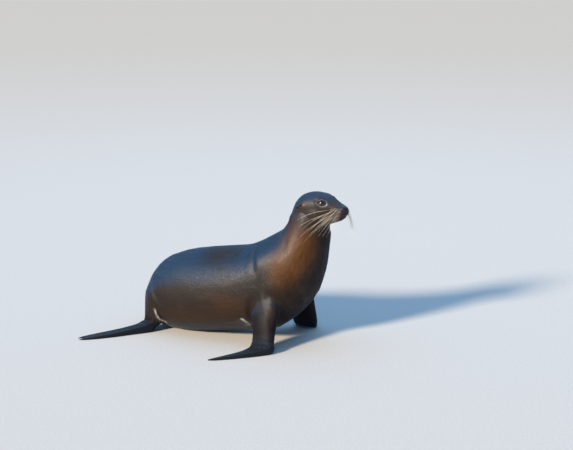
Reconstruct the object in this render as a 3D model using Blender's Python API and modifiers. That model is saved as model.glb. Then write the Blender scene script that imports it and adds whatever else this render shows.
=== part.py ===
"""A life-size sea lion, still, walking on its fore flippers with its head up.

Metres. +X runs towards the head, +Y to the animal's left, +Z up, and the floor
is at Z = 0. The flesh is modelled whole from lofted sections, fused by a voxel
remesh, and then parted by thin cuts into the parts that a person would name.
"""

import math
from functools import partial

import bmesh
import bpy
import numpy as np
from mathutils import Matrix, Vector

# ---------------------------------------------------------------- driving sizes
GAP = 0.0003  # clear space between neighbouring solids
RING = 48  # points round a section of the body
LIMB_RING = 28  # points round a section of a limb
BODY_VOXEL, BODY_SMOOTHING = 0.0055, 6  # grid size of the fused flesh, and rounds of smoothing
FLIPPER_VOXEL, FLIPPER_SMOOTHING = 0.0026, 5
FLESH_TRIANGLES = 2850
FLIPPER_TRIANGLES = 360

HEAD_TURN = math.radians(-6)  # to the animal's right
SKULL = Vector((0.131, 0.0, 0.6665))  # between the ears
EYE_RADIUS = 0.021
EYE = Vector((0.0985, 0.0442, 0.0215))  # from the skull's middle, left side
EAR_ROOT, EAR_TIP = Vector((0.014, 0.0755, 0.013)), Vector((-0.0165, 0.0840, -0.003))
EAR_WIDTH, EAR_THICKNESS, EAR_CURL = 0.0068, 0.0024, 0.0035
NAIL_LENGTH, NAIL_WIDTH = 0.017, 0.0032

# Trunk and neck: each section runs from the back's midline to the belly's.
# back x, back z, belly x, belly z, half width, widest height (share), squareness
TRUNK = (
    (-0.738, 0.085, -0.700, 0.045, 0.022, 0.50, 2.0),
    (-0.734, 0.150, -0.668, 0.030, 0.070, 0.48, 2.0),
    (-0.712, 0.216, -0.632, 0.014, 0.112, 0.46, 2.1),
    (-0.674, 0.288, -0.590, 0.002, 0.143, 0.46, 2.1),
    (-0.606, 0.353, -0.540, -0.004, 0.167, 0.46, 2.1),
    (-0.500, 0.394, -0.455, -0.004, 0.186, 0.46, 2.1),
    (-0.380, 0.418, -0.355, 0.008, 0.196, 0.46, 2.1),
    (-0.265, 0.435, -0.250, 0.023, 0.200, 0.47, 2.1),
    (-0.168, 0.450, -0.145, 0.040, 0.197, 0.48, 2.1),
    (-0.095, 0.482, -0.040, 0.051, 0.190, 0.49, 2.1),
    (-0.042, 0.513, 0.045, 0.099, 0.180, 0.50, 2.0),
    (-0.004, 0.535, 0.130, 0.179, 0.164, 0.51, 2.0),
    (0.019, 0.551, 0.192, 0.269, 0.145, 0.51, 2.0),
    (0.033, 0.574, 0.228, 0.364, 0.127, 0.51, 2.0),
    (0.043, 0.598, 0.238, 0.452, 0.113, 0.51, 2.0),
    (0.053, 0.624, 0.238, 0.526, 0.103, 0.51, 2.0),
    (0.068, 0.652, 0.233, 0.580, 0.094, 0.51, 2.0),
    (0.092, 0.684, 0.222, 0.614, 0.070, 0.51, 2.0),
)

# Skull and upper muzzle, from the skull's middle, along the head's own X axis.
# x, top, bottom, half width, widest height (share), squareness
CRANIUM = (
    (-0.062, -0.010, -0.050, 0.026, 0.50, 2.0),
    (-0.055, 0.014, -0.072, 0.052, 0.50, 2.0),
    (-0.028, 0.043, -0.085, 0.073, 0.50, 2.1),
    (0.008, 0.060, -0.088, 0.081, 0.50, 2.2),
    (0.044, 0.066, -0.086, 0.080, 0.50, 2.2),
    (0.076, 0.064, -0.080, 0.074, 0.52, 2.2),
    (0.102, 0.057, -0.070, 0.066, 0.52, 2.3),
    (0.123, 0.049, -0.060, 0.057, 0.50, 2.3),
    (0.144, 0.035, -0.050, 0.050, 0.47, 2.3),
    (0.164, 0.0225, -0.045, 0.046, 0.44, 2.3),
    (0.181, 0.0145, -0.042, 0.042, 0.44, 2.4),
    (0.195, 0.0080, -0.039, 0.035, 0.44, 2.3),
    (0.204, 0.0015, -0.034, 0.025, 0.48, 2.2),
    (0.209, -0.007, -0.026, 0.013, 0.50, 2.0),
)
JAW = (
    (0.010, -0.040, -0.100, 0.050, 0.50, 2.0),
    (0.050, -0.042, -0.104, 0.056, 0.50, 2.1),
    (0.088, -0.042, -0.096, 0.050, 0.50, 2.2),
    (0.124, -0.040, -0.080, 0.040, 0.50, 2.2),
    (0.152, -0.036, -0.069, 0.033, 0.50, 2.2),
    (0.176, -0.033, -0.0595, 0.028, 0.50, 2.2),
    (0.190, -0.033, -0.050, 0.020, 0.50, 2.0),
    (0.199, -0.035, -0.045, 0.010, 0.50, 2.0),
)

# Right fore limb, shoulder to tip: leading edge, trailing edge, thickness, and
# how much thinner the trailing edge is than the leading one.
FORE_LIMB = (
    ((0.068, -0.095, 0.330), (-0.085, -0.095, 0.305), 0.090, 0.0),
    ((0.064, -0.138, 0.240), (-0.086, -0.138, 0.215), 0.092, 0.0),
    ((0.059, -0.178, 0.162), (-0.076, -0.174, 0.140), 0.080, 0.1),
    ((0.058, -0.207, 0.100), (-0.062, -0.200, 0.086), 0.066, 0.2),
    ((0.064, -0.232, 0.055), (-0.054, -0.222, 0.048), 0.052, 0.3),
    ((0.070, -0.262, 0.022), (-0.052, -0.250, 0.019), 0.035, 0.4),
    ((0.030, -0.308, 0.011), (-0.066, -0.290, 0.009), 0.024, 0.4),
    ((-0.022, -0.360, 0.008), (-0.090, -0.333, 0.007), 0.019, 0.4),
    ((-0.078, -0.411, 0.006), (-0.118, -0.380, 0.006), 0.015, 0.4),
    ((-0.126, -0.450, 0.005), (-0.144, -0.428, 0.005), 0.012, 0.3),
    ((-0.157, -0.471, 0.003), (-0.162, -0.463, 0.003), 0.008, 0.0),
)
# The left arm reaches farther forward above its wrist: its rows, as if on the right.
LEFT_FORE_LIMB = (
    ((0.084, -0.095, 0.330), (-0.085, -0.095, 0.305), 0.090, 0.0),
    ((0.088, -0.138, 0.240), (-0.086, -0.138, 0.215), 0.092, 0.0),
    ((0.086, -0.178, 0.162), (-0.080, -0.174, 0.140), 0.080, 0.1),
    ((0.083, -0.207, 0.100), (-0.068, -0.200, 0.086), 0.066, 0.2),
    ((0.078, -0.232, 0.055), (-0.054, -0.222, 0.048), 0.052, 0.3),
    *FORE_LIMB[5:],
)
FORE_WRIST = 4.6  # where the hand begins, as a place in FORE_LIMB
# Each digit: its share across the hand at the wrist, where it ends, the share there.
FORE_DIGITS = (
    (0.09, 10.0, 0.09),
    (0.30, 9.3, 0.86),
    (0.51, 8.5, 0.97),
    (0.71, 7.7, 0.98),
    (0.89, 7.0, 0.99),
)
FORE_WEB_END = 10.0
DIGIT_WIDTH, DIGIT_DEPTH = 0.0125, 0.98  # half width; depth as a share of the blade's
DIGIT_TAPER = 0.60  # the share of its width that a digit loses towards its end
WEB_DEPTH = 0.62  # the web's depth between the digits, as a share of the blade's

# Right hind limb, hip to toe tips.
HIND_LIMB = (
    ((-0.500, -0.080, 0.200), (-0.670, -0.075, 0.215), 0.120, 0.0),
    ((-0.545, -0.112, 0.120), (-0.698, -0.092, 0.135), 0.096, 0.0),
    ((-0.582, -0.126, 0.070), (-0.700, -0.098, 0.080), 0.080, 0.0),
    ((-0.604, -0.140, 0.036), (-0.698, -0.104, 0.042), 0.058, 0.1),
    ((-0.634, -0.176, 0.020), (-0.712, -0.136, 0.021), 0.040, 0.2),
    ((-0.690, -0.244, 0.012), (-0.758, -0.201, 0.012), 0.028, 0.2),
    ((-0.744, -0.314, 0.008), (-0.812, -0.272, 0.008), 0.020, 0.2),
    ((-0.798, -0.374, 0.006), (-0.856, -0.338, 0.006), 0.015, 0.2),
    ((-0.846, -0.415, 0.004), (-0.886, -0.388, 0.004), 0.011, 0.1),
    ((-0.876, -0.434, 0.003), (-0.898, -0.418, 0.003), 0.008, 0.0),
)
HIND_ANKLE = 3.7
HIND_DIGITS = (
    (0.11, 9.0, 0.11),
    (0.31, 8.45, 0.31),
    (0.50, 8.25, 0.50),
    (0.69, 8.35, 0.69),
    (0.89, 8.85, 0.90),
)
HIND_WEB_END = 7.6
NAIL_PLACE = 6.9  # where the three middle toes carry nails, as a place in HIND_LIMB

TAIL_ROOT, TAIL_TIP = Vector((-0.690, 0.0, 0.112)), Vector((-0.744, 0.0, 0.030))
TAIL_CUT = 0.42  # the share of its length where the tail leaves the rump
TAIL_RADIUS = 0.019

# Muscle and fat under the skin: centre, radii, and tilt about Y in degrees.
SHOULDER = (Vector((-0.015, -0.098, 0.300)), Vector((0.118, 0.086, 0.165)), -14)
THIGH = (Vector((-0.600, -0.076, 0.155)), Vector((0.112, 0.080, 0.120)), 18)
WHISKER_PAD = (Vector((0.169, 0.021, -0.014)), Vector((0.034, 0.025, 0.023)), 6)
CHEEK = (Vector((0.052, 0.040, -0.030)), Vector((0.070, 0.043, 0.050)), 0)
BROW = (Vector((0.086, 0.036, 0.036)), Vector((0.036, 0.024, 0.020)), 20)

# Corners that flesh fills: centre, radius, and rounds of smoothing.
MIDLINE_FOLDS = (
    (Vector((0.125, 0, 0.605)), 0.12, 5),  # throat
    (Vector((-0.10, 0, 0.46)), 0.12, 5),  # withers
)
SIDE_FOLDS = (
    (Vector((0.0, 0.150, 0.20)), 0.17, 8),  # armpit
    (Vector((-0.02, 0.130, 0.40)), 0.13, 10),  # top of the shoulder
    (Vector((-0.62, 0.120, 0.14)), 0.16, 10),  # flank
)

# Where the flesh is parted: two points of each plane, in X and Z.
NECK_CUT = ((0.078, 0.664), (0.240, 0.584))
CHEST_CUT = ((0.019, 0.551), (0.188, 0.276))
LOIN_CUT = ((-0.215, 0.440), (-0.185, 0.000))
RUMP_CUT = ((-0.500, 0.386), (-0.455, 0.000))
ELBOW_PLACE, KNEE_PLACE = 2.55, 2.7  # places along FORE_LIMB and HIND_LIMB
SLEEVE = 0.014  # how far the sleeve that cuts a limb off stands clear of it
# On the head, in its own frame.
MOUTH_HEIGHT, MOUTH_CORNER = -0.0310, 0.132
MUZZLE_CUT = 0.150
NOSE = (Vector((0.1880, 0.0, 0.0030)), 0.0205, 0.0125)  # back of the pad, half width, half height
NOSTRIL = (Vector((0.2005, 0.0085, -0.0010)), Vector((0.0065, 0.0022, 0.0048)))

MIDDLE = 0.2762  # from the fore flippers' axis back to the middle of the whole length

COLOURS = {
    "coat": ((0.062, 0.036, 0.022), 0.38),
    "flipper": ((0.018, 0.015, 0.014), 0.45),
    "nose": ((0.012, 0.010, 0.010), 0.30),
    "eye": ((0.010, 0.006, 0.004), 0.05),
    "nail": ((0.055, 0.045, 0.038), 0.35),
}


# --------------------------------------------------------------------- helpers
def clear_scene():
    for old in list(bpy.data.objects):
        bpy.data.objects.remove(old, do_unlink=True)


def collection(name):
    made = bpy.data.collections.new(name)
    bpy.context.scene.collection.children.link(made)
    return made


def material(name):
    colour, roughness = COLOURS[name]
    made = bpy.data.materials.get(name) or bpy.data.materials.new(name)
    made.use_nodes = True
    shader = made.node_tree.nodes["Principled BSDF"]
    shader.inputs["Base Color"].default_value = (*colour, 1)
    shader.inputs["Roughness"].default_value = roughness
    shader.inputs["Metallic"].default_value = 0
    return made


def add_object(name, mesh, group, finish=None):
    made = bpy.data.objects.new(name, mesh)
    group.objects.link(made)
    if finish:
        mesh.materials.clear()
        mesh.materials.append(material(finish))
    return made


def smooth_rows(rows, steps):
    """A smooth (Catmull-Rom) run through rows of numbers, steps rows to each gap."""
    rows = np.array(rows, float)
    padded = np.vstack([2 * rows[0] - rows[1], rows, 2 * rows[-1] - rows[-2]])
    made = [row_at(padded, 1 + i / steps) for i in range((len(rows) - 1) * steps + 1)]
    return np.array(made)


def row_at(padded, place):
    """The row at a fractional place, from a table with one extra row at each end."""
    i = min(int(place), len(padded) - 3)
    t = place - i
    before, start, end, after = padded[i - 1 : i + 3]
    return 0.5 * (
        2 * start
        + (end - before) * t
        + (2 * before - 5 * start + 4 * end - after) * t**2
        + (3 * start - before - 3 * end + after) * t**3
    )


def loft(rings):
    """A closed bmesh through rings of points, each end closed to its middle."""
    bm = bmesh.new()
    loops = [[bm.verts.new(point) for point in ring] for ring in rings]
    count = len(loops[0])
    for a, b in zip(loops, loops[1:]):
        for i in range(count):
            j = (i + 1) % count
            bm.faces.new((a[i], a[j], b[j], b[i]))
    for loop in (loops[0], loops[-1]):
        middle = bm.verts.new(sum((v.co for v in loop), Vector()) / count)
        for i in range(count):
            bm.faces.new((loop[i], loop[(i + 1) % count], middle))
    bmesh.ops.recalc_face_normals(bm, faces=bm.faces)
    return bm


def superellipse(angle, squareness):
    """Across and up, each from -1 to 1, on a rounded square of that squareness."""
    c, s = math.cos(angle), math.sin(angle)
    power = 2 / squareness
    return math.copysign(abs(c) ** power, c), math.copysign(abs(s) ** power, s)


def oval(middle, across, up, count):
    """A ring of points from a middle and its two half axes."""
    angles = [2 * math.pi * i / count for i in range(count)]
    return [middle + across * math.cos(a) + up * math.sin(a) for a in angles]


def section_ring(row):
    """A ring of the trunk or head, between a midline point above and one below."""
    back, belly = Vector((row[0], 0, row[1])), Vector((row[2], 0, row[3]))
    half_width, widest, squareness = row[4:7]
    middle = belly.lerp(back, widest)
    ring = []
    for i in range(RING):
        across, up = superellipse(2 * math.pi * i / RING, squareness)
        reach = back - middle if up > 0 else middle - belly
        ring.append(middle + reach * up + Vector((0, half_width * across, 0)))
    return ring


def trunk():
    return loft([section_ring(row) for row in smooth_rows(TRUNK, 4)])


def head_matrix():
    return Matrix.Translation(SKULL) @ Matrix.Rotation(HEAD_TURN, 4, "Z")


def head_loft(table):
    """A loft along the head's own X axis, put in place and turned with the head."""
    rows = [(x, top, x, bottom, *rest) for x, top, bottom, *rest in table]
    bm = loft([section_ring(row) for row in smooth_rows(rows, 4)])
    bm.transform(head_matrix())
    return bm


def ellipsoid(centre, radii, tilt, turned_with_head=False, segments=28):
    """A ball with three radii, tilted about Y, as part of the body or of the head."""
    bm = bmesh.new()
    bmesh.ops.create_uvsphere(bm, u_segments=segments, v_segments=segments * 2 // 3, radius=1)
    place = Matrix.Translation(centre) @ Matrix.Rotation(math.radians(tilt), 4, "Y")
    bm.transform(place @ Matrix.Diagonal((*radii, 1)))
    if turned_with_head:
        bm.transform(head_matrix())
    return bm


def both_sides(centre, radii, tilt):
    """An ellipsoid on each side of the head."""
    mirrored = Vector((centre.x, -centre.y, centre.z))
    return [ellipsoid(c, radii, tilt, True) for c in (centre, mirrored)]


class Limb:
    """A limb's frame: at any place along it, its edges, thickness and directions."""

    def __init__(self, table):
        rows = np.array([(*lead, *trail, *rest) for lead, trail, *rest in table])
        self.padded = np.vstack([2 * rows[0] - rows[1], rows, 2 * rows[-1] - rows[-2]])
        self.last = len(rows) - 1

    def at(self, place):
        """Middle, half width, half thickness, taper, across and outward directions."""
        row = row_at(self.padded, 1 + place)
        ahead = row_at(self.padded, 1 + min(place + 0.05, self.last))
        behind = row_at(self.padded, 1 + max(place - 0.05, 0))
        lead, trail = Vector(row[0:3]), Vector(row[3:6])
        along = Vector((ahead - behind)[0:3] + (ahead - behind)[3:6]).normalized()
        across = (lead - trail).normalized()
        outward = along.cross(across).normalized()
        half_width = (lead - trail).length / 2
        return (lead + trail) / 2, half_width, row[6] / 2, row[7], across, outward

    def ring(self, place, flatten=1.0):
        middle, half_width, half_thick, taper, across, outward = self.at(place)
        ring = []
        for i in range(LIMB_RING):
            c, s = superellipse(2 * math.pi * i / LIMB_RING, 2.0)
            thick = half_thick * flatten * (1 + taper * c)
            ring.append(middle + across * half_width * c + outward * thick * s)
        return ring

    def loft(self, start, end, flatten=1.0):
        places = np.linspace(start, end, int((end - start) * 5) + 2)
        return loft([self.ring(place, flatten) for place in places])

    def sleeve(self, start, end, side, grow):
        """A tube that clears the limb all round, to cut it off whole, on either side."""
        rings = []
        for place in np.linspace(start, end, 9):
            middle, half_width, half_thick, _, across, outward = self.at(place)
            clear = SLEEVE + grow
            rings.append(oval(middle, across * (half_width + clear), outward * (half_thick + clear), 20))
        onward = self.station(start)[2]
        rings[0] = [point - onward * grow for point in rings[0]]
        bm = loft(rings)
        return bm if side < 0 else mirrored(bm)

    def digit(self, start, share, end, end_share):
        """A finger bone under the skin: a tapering tube that fans to its own edge."""
        rings = []
        for t in np.linspace(0, 1, 18):
            place = start + (end - start) * t
            now = share + (end_share - share) * t**1.6
            middle, half_width, half_thick, taper, across, outward = self.at(place)
            middle = middle + across * half_width * (1 - 2 * now)
            fade = math.sqrt(max(1 - t**6, 0.02))
            wide = DIGIT_WIDTH * (1 - DIGIT_TAPER * t) * fade
            deep = half_thick * DIGIT_DEPTH * (1 + taper * (1 - 2 * now)) * fade
            rings.append(oval(middle, across * wide, outward * deep, 12))
        return loft(rings)

    def station(self, place):
        """Middle, across and onward directions at a place along the limb."""
        middle, _, _, _, across, outward = self.at(place)
        return middle, across, across.cross(outward).normalized()


def mirrored(bm):
    made = bm.copy()
    made.transform(Matrix.Scale(-1, 4, Vector((0, 1, 0))))
    bmesh.ops.reverse_faces(made, faces=made.faces)
    return made


def joined(name, pieces, group):
    """One object of several closed meshes that overlap."""
    whole = bmesh.new()
    for piece in pieces:
        mesh = bpy.data.meshes.new("piece")
        piece.to_mesh(mesh)
        piece.free()
        whole.from_mesh(mesh)
        bpy.data.meshes.remove(mesh)
    mesh = bpy.data.meshes.new(name)
    whole.to_mesh(mesh)
    whole.free()
    return add_object(name, mesh, group)


def apply_modifiers(obj):
    bpy.context.view_layer.update()
    graph = bpy.context.evaluated_depsgraph_get()
    mesh = bpy.data.meshes.new_from_object(obj.evaluated_get(graph))
    obj.modifiers.clear()
    obj.data = mesh


def fuse(obj, voxel, smoothing):
    """Closed meshes that overlap become one skin, with its steps smoothed away."""
    remesh = obj.modifiers.new("Fuse", "REMESH")
    remesh.mode = "VOXEL"
    remesh.voxel_size = voxel
    relax = obj.modifiers.new("Relax", "SMOOTH")
    relax.factor = 0.5
    relax.iterations = smoothing
    apply_modifiers(obj)
    keep_largest_shell(obj)


def keep_largest_shell(obj):
    """Drops the small inner shells that a remesh leaves where thin walls cross."""
    bm = bmesh.new()
    bm.from_mesh(obj.data)
    left, shells = set(bm.verts), []
    while left:
        shell, edge = set(), {left.pop()}
        while edge:
            shell |= edge
            edge = {e.other_vert(v) for v in edge for e in v.link_edges} - shell
        left -= shell
        shells.append(shell)
    shells.sort(key=len)
    small = [v for shell in shells[:-1] for v in shell]
    bmesh.ops.delete(bm, geom=small, context="VERTS")
    bm.to_mesh(obj.data)
    bm.free()


def blend_folds(obj, places):
    """Softens the skin near each (centre, radius, times), as flesh fills a corner."""
    bm = bmesh.new()
    bm.from_mesh(obj.data)
    for centre, radius, times in places:
        for share in (1.0, 0.75, 0.5):
            near = [v for v in bm.verts if (v.co - centre).length < radius * share]
            for _ in range(times):
                bmesh.ops.smooth_vert(
                    bm, verts=near, factor=0.5, use_axis_x=True, use_axis_y=True, use_axis_z=True
                )
    bm.to_mesh(obj.data)
    bm.free()


def thin_out(obj, triangles):
    """Fewer, larger triangles where the surface is plain."""
    now = sum(len(face.vertices) - 2 for face in obj.data.polygons)
    decimate = obj.modifiers.new("Thin out", "DECIMATE")
    decimate.ratio = triangles / now
    decimate.use_collapse_triangulate = True
    apply_modifiers(obj)


def keep_side(obj, point, normal):
    """Cuts obj at a plane, keeps what lies behind it, and closes the cut flat."""
    bm = bmesh.new()
    bm.from_mesh(obj.data)
    geometry = bm.verts[:] + bm.edges[:] + bm.faces[:]
    cut = bmesh.ops.bisect_plane(
        bm, geom=geometry, dist=1e-7, plane_co=point, plane_no=normal, clear_outer=True
    )
    rim = [e for e in cut["geom_cut"] if isinstance(e, bmesh.types.BMEdge)]
    bmesh.ops.holes_fill(bm, edges=rim, sides=0)
    bmesh.ops.triangulate(bm, faces=bm.faces)
    bmesh.ops.recalc_face_normals(bm, faces=bm.faces)
    bm.to_mesh(obj.data)
    bm.free()


def flat_sole(obj, ground):
    """Cuts off what is under the floor, so that the part stands on small flats."""
    boolean(obj, ground, "DIFFERENCE")


def split_plane(obj, point, normal, name, finish):
    """Parts obj at a plane: what lies along normal becomes a new object."""
    taken = copy_of(obj, name, finish)
    normal = normal.normalized()
    keep_side(obj, point - normal * GAP / 2, normal)
    keep_side(taken, point + normal * GAP / 2, -normal)
    return taken


def cutter(name, bm, group):
    """An object that only cuts: it isn't rendered, and it shows as wire."""
    mesh = bpy.data.meshes.new(name)
    bm.to_mesh(mesh)
    bm.free()
    made = add_object(name, mesh, group)
    made.hide_render = True
    made.display_type = "WIRE"
    return made


def box(start, outward, across, size, grow=0.0):
    """A box whose inner face is centred on start, and that runs on along outward."""
    bm = bmesh.new()
    bmesh.ops.create_cube(bm, size=1)
    outward = outward.normalized()
    side = outward.cross(across).normalized()
    turn = Matrix((across.normalized(), side, outward)).transposed().to_4x4()
    size = Matrix.Diagonal((*(size + Vector((1, 1, 1)) * 2 * grow), 1))
    place = Matrix.Translation(start - outward * grow) @ turn @ size
    bm.transform(place @ Matrix.Translation((0, 0, 0.5)))
    bmesh.ops.recalc_face_normals(bm, faces=bm.faces)
    return bm


def boolean(obj, tool, operation):
    modifier = obj.modifiers.new(operation.title(), "BOOLEAN")
    modifier.operation = operation
    modifier.object = tool
    modifier.solver = "EXACT"
    apply_modifiers(obj)


def copy_of(obj, name, finish):
    return add_object(name, obj.data.copy(), obj.users_collection[0], finish)


def split_off(obj, shape, name, finish, group):
    """What lies in shape(0) becomes a new object, and shape(GAP) is taken from obj."""
    taken = copy_of(obj, name, finish)
    for piece, grow, operation in ((taken, 0.0, "INTERSECT"), (obj, GAP, "DIFFERENCE")):
        tool = cutter(f"cut {name} {operation.lower()}", shape(grow), group)
        boolean(piece, tool, operation)
    return taken


# ------------------------------------------------------------------- the parts
def build_flesh(fore, left_fore, hind, group, ground):
    tail = []
    for t in np.linspace(0, 1, 8):
        radius = TAIL_RADIUS * math.sqrt(max(1 - t**3, 0.05))
        up = (TAIL_TIP - TAIL_ROOT).normalized().cross(Vector((0, 1, 0)))
        wide = Vector((0, radius * 1.2, 0))
        tail.append(oval(TAIL_ROOT.lerp(TAIL_TIP, t), wide, up * radius * 0.7, 16))
    halves = [hind.loft(0, HIND_ANKLE + 0.8), ellipsoid(*SHOULDER), ellipsoid(*THIGH)]
    pieces = [trunk(), head_loft(CRANIUM), head_loft(JAW), loft(tail)]
    pieces += halves + [mirrored(half) for half in halves]
    pieces.append(fore.loft(0, FORE_WRIST + 0.8))
    pieces.append(mirrored(left_fore.loft(0, FORE_WRIST + 0.8)))
    for feature in (WHISKER_PAD, CHEEK, BROW):
        pieces += both_sides(*feature)
    flesh = joined("flesh", pieces, group)
    fuse(flesh, BODY_VOXEL, BODY_SMOOTHING)
    far_side = [(centre * Vector((1, -1, 1)), radius, times) for centre, radius, times in SIDE_FOLDS]
    blend_folds(flesh, [*MIDLINE_FOLDS, *SIDE_FOLDS, *far_side])
    thin_out(flesh, FLESH_TRIANGLES)
    flat_sole(flesh, ground)
    return flesh


def build_flipper(limb, start, digits, web_end, name, group, ground):
    """A blade of skin over five digits, from a little inside the limb's cut."""
    pieces = [limb.loft(start - 0.3, web_end, WEB_DEPTH)]
    pieces.append(limb.loft(start - 0.3, start + 0.6))
    for share, end, end_share in digits:
        pieces.append(limb.digit(start - 0.2, share, end, end_share))
    blade = joined(name, pieces, group)
    blade.data.materials.append(material("flipper"))
    fuse(blade, FLIPPER_VOXEL, FLIPPER_SMOOTHING)
    thin_out(blade, FLIPPER_TRIANGLES)
    flat_sole(blade, ground)
    middle, _, onward = limb.station(start)
    keep_side(blade, middle + onward * GAP / 2, -onward)
    return blade


def jaw_shape(grow):
    """A box ahead of the mouth's corner and below its line, wider than the jaw."""
    size = Vector((0.16, 0.14, 0.10))
    corner = Vector((MOUTH_CORNER + size.y / 2, 0, MOUTH_HEIGHT))
    bm = box(corner, Vector((0, 0, -1)), Vector((0, 1, 0)), size, grow)
    bm.transform(head_matrix())
    return bm


def nose_shape(grow):
    """An oval rod along the muzzle, which cuts the nose's pad out of its tip."""
    back, half_width, half_height = NOSE
    rings = []
    for x in (back.x - grow, back.x + 0.05 + grow):
        middle = Vector((x, 0, back.z))
        wide, high = Vector((0, half_width + grow, 0)), Vector((0, 0, half_height + grow))
        rings.append(oval(middle, wide, high, 20))
    bm = loft(rings)
    bm.transform(head_matrix())
    return bm


def eyeball(side, grow):
    bm = bmesh.new()
    bmesh.ops.create_uvsphere(bm, u_segments=16, v_segments=9, radius=EYE_RADIUS + grow)
    bm.transform(head_matrix() @ Matrix.Translation(EYE * Vector((1, side, 1))))
    return bm


def build_head(head, parts, cutters):
    """Parts the head into jaw, muzzle and nose, and sets its eyes and ears in it."""
    turn = head_matrix()
    split_off(head, jaw_shape, "lower_jaw", "coat", cutters)
    point = turn @ Vector((MUZZLE_CUT, 0, 0))
    muzzle = split_plane(head, point, turn.to_3x3() @ Vector((1, 0, 0)), "muzzle", "coat")
    nose = split_off(muzzle, nose_shape, "nose", "nose", cutters)
    centre, radii = NOSTRIL
    for side, word in ((-1, "right"), (1, "left")):
        pit = ellipsoid(centre * Vector((1, side, 1)), radii, -25, True, 8)
        boolean(nose, cutter(f"nostril {word}", pit, cutters), "DIFFERENCE")
        for name, shape, slack, finish in (("eye", eyeball, 1, "eye"), ("ear", ear, 3, "coat")):
            mesh = bpy.data.meshes.new(f"{name}_{word}")
            bm = shape(side, 0.0)
            bm.to_mesh(mesh)
            bm.free()
            add_object(f"{name}_{word}", mesh, parts, finish)
            socket = cutter(f"{name} socket {word}", shape(side, slack * GAP), cutters)
            boolean(head, socket, "DIFFERENCE")


def ear(side, grow):
    """A small curled leaf that lies back along the head, its hollow facing inwards."""
    flip = Vector((1, side, 1))
    root, tip = EAR_ROOT * flip, EAR_TIP * flip
    along = (tip - root).normalized()
    out = Vector((0, side, 0))
    across = along.cross(out).normalized() * side
    rings = []
    for t in np.linspace(0, 1, 7):
        share = max(0.62 + 1.1 * t - 1.55 * t**3, 0.18)
        wide = EAR_WIDTH * share + grow
        thick = EAR_THICKNESS * (1.25 - 0.85 * t) + grow
        middle = root.lerp(tip, t) + along * grow * (2 * t - 1)
        ring = []
        for i in range(12):
            a = 2 * math.pi * i / 12
            bend = EAR_CURL * share * math.sin(a) ** 2 * min(1, 3 * t)
            ring.append(middle + across * wide * math.cos(a) + out * (thick * math.sin(a) + bend))
        rings.append(ring)
    bm = loft(rings)
    bm.transform(head_matrix())
    return bm


def nail(limb, share, grow):
    """A slender curved nail that lies on a toe, its root sunk in the skin."""
    middle, half_width, half_thick, _, across, outward = limb.at(NAIL_PLACE)
    up = outward if outward.z > 0 else -outward
    onward = limb.station(NAIL_PLACE)[2]
    root = middle + across * half_width * (1 - 2 * share) + up * half_thick * 0.72
    rings = []
    for t in np.linspace(0, 1, 4):
        wide = NAIL_WIDTH * (0.9 - 0.62 * t**1.5) + grow
        deep = NAIL_WIDTH * (0.62 - 0.38 * t) + grow
        place = root + onward * (NAIL_LENGTH * (t - 0.35)) + up * 0.0035 * (4 * t * (1 - t)) ** 0.7
        place += onward * (-grow if t == 0 else grow * (t == 1))
        rings.append(oval(place, across * wide, up * deep, 6))
    return loft(rings)


def cut_plane(two_points):
    """A point and a direction, forwards, from two (x, z) points of a plane."""
    (x0, z0), (x1, z1) = two_points
    along = Vector((x1 - x0, 0, z1 - z0)).normalized()
    ahead = Vector((-along.z, 0, along.x))
    return Vector((x0, 0, z0)), ahead if ahead.x > 0 else -ahead


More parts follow.
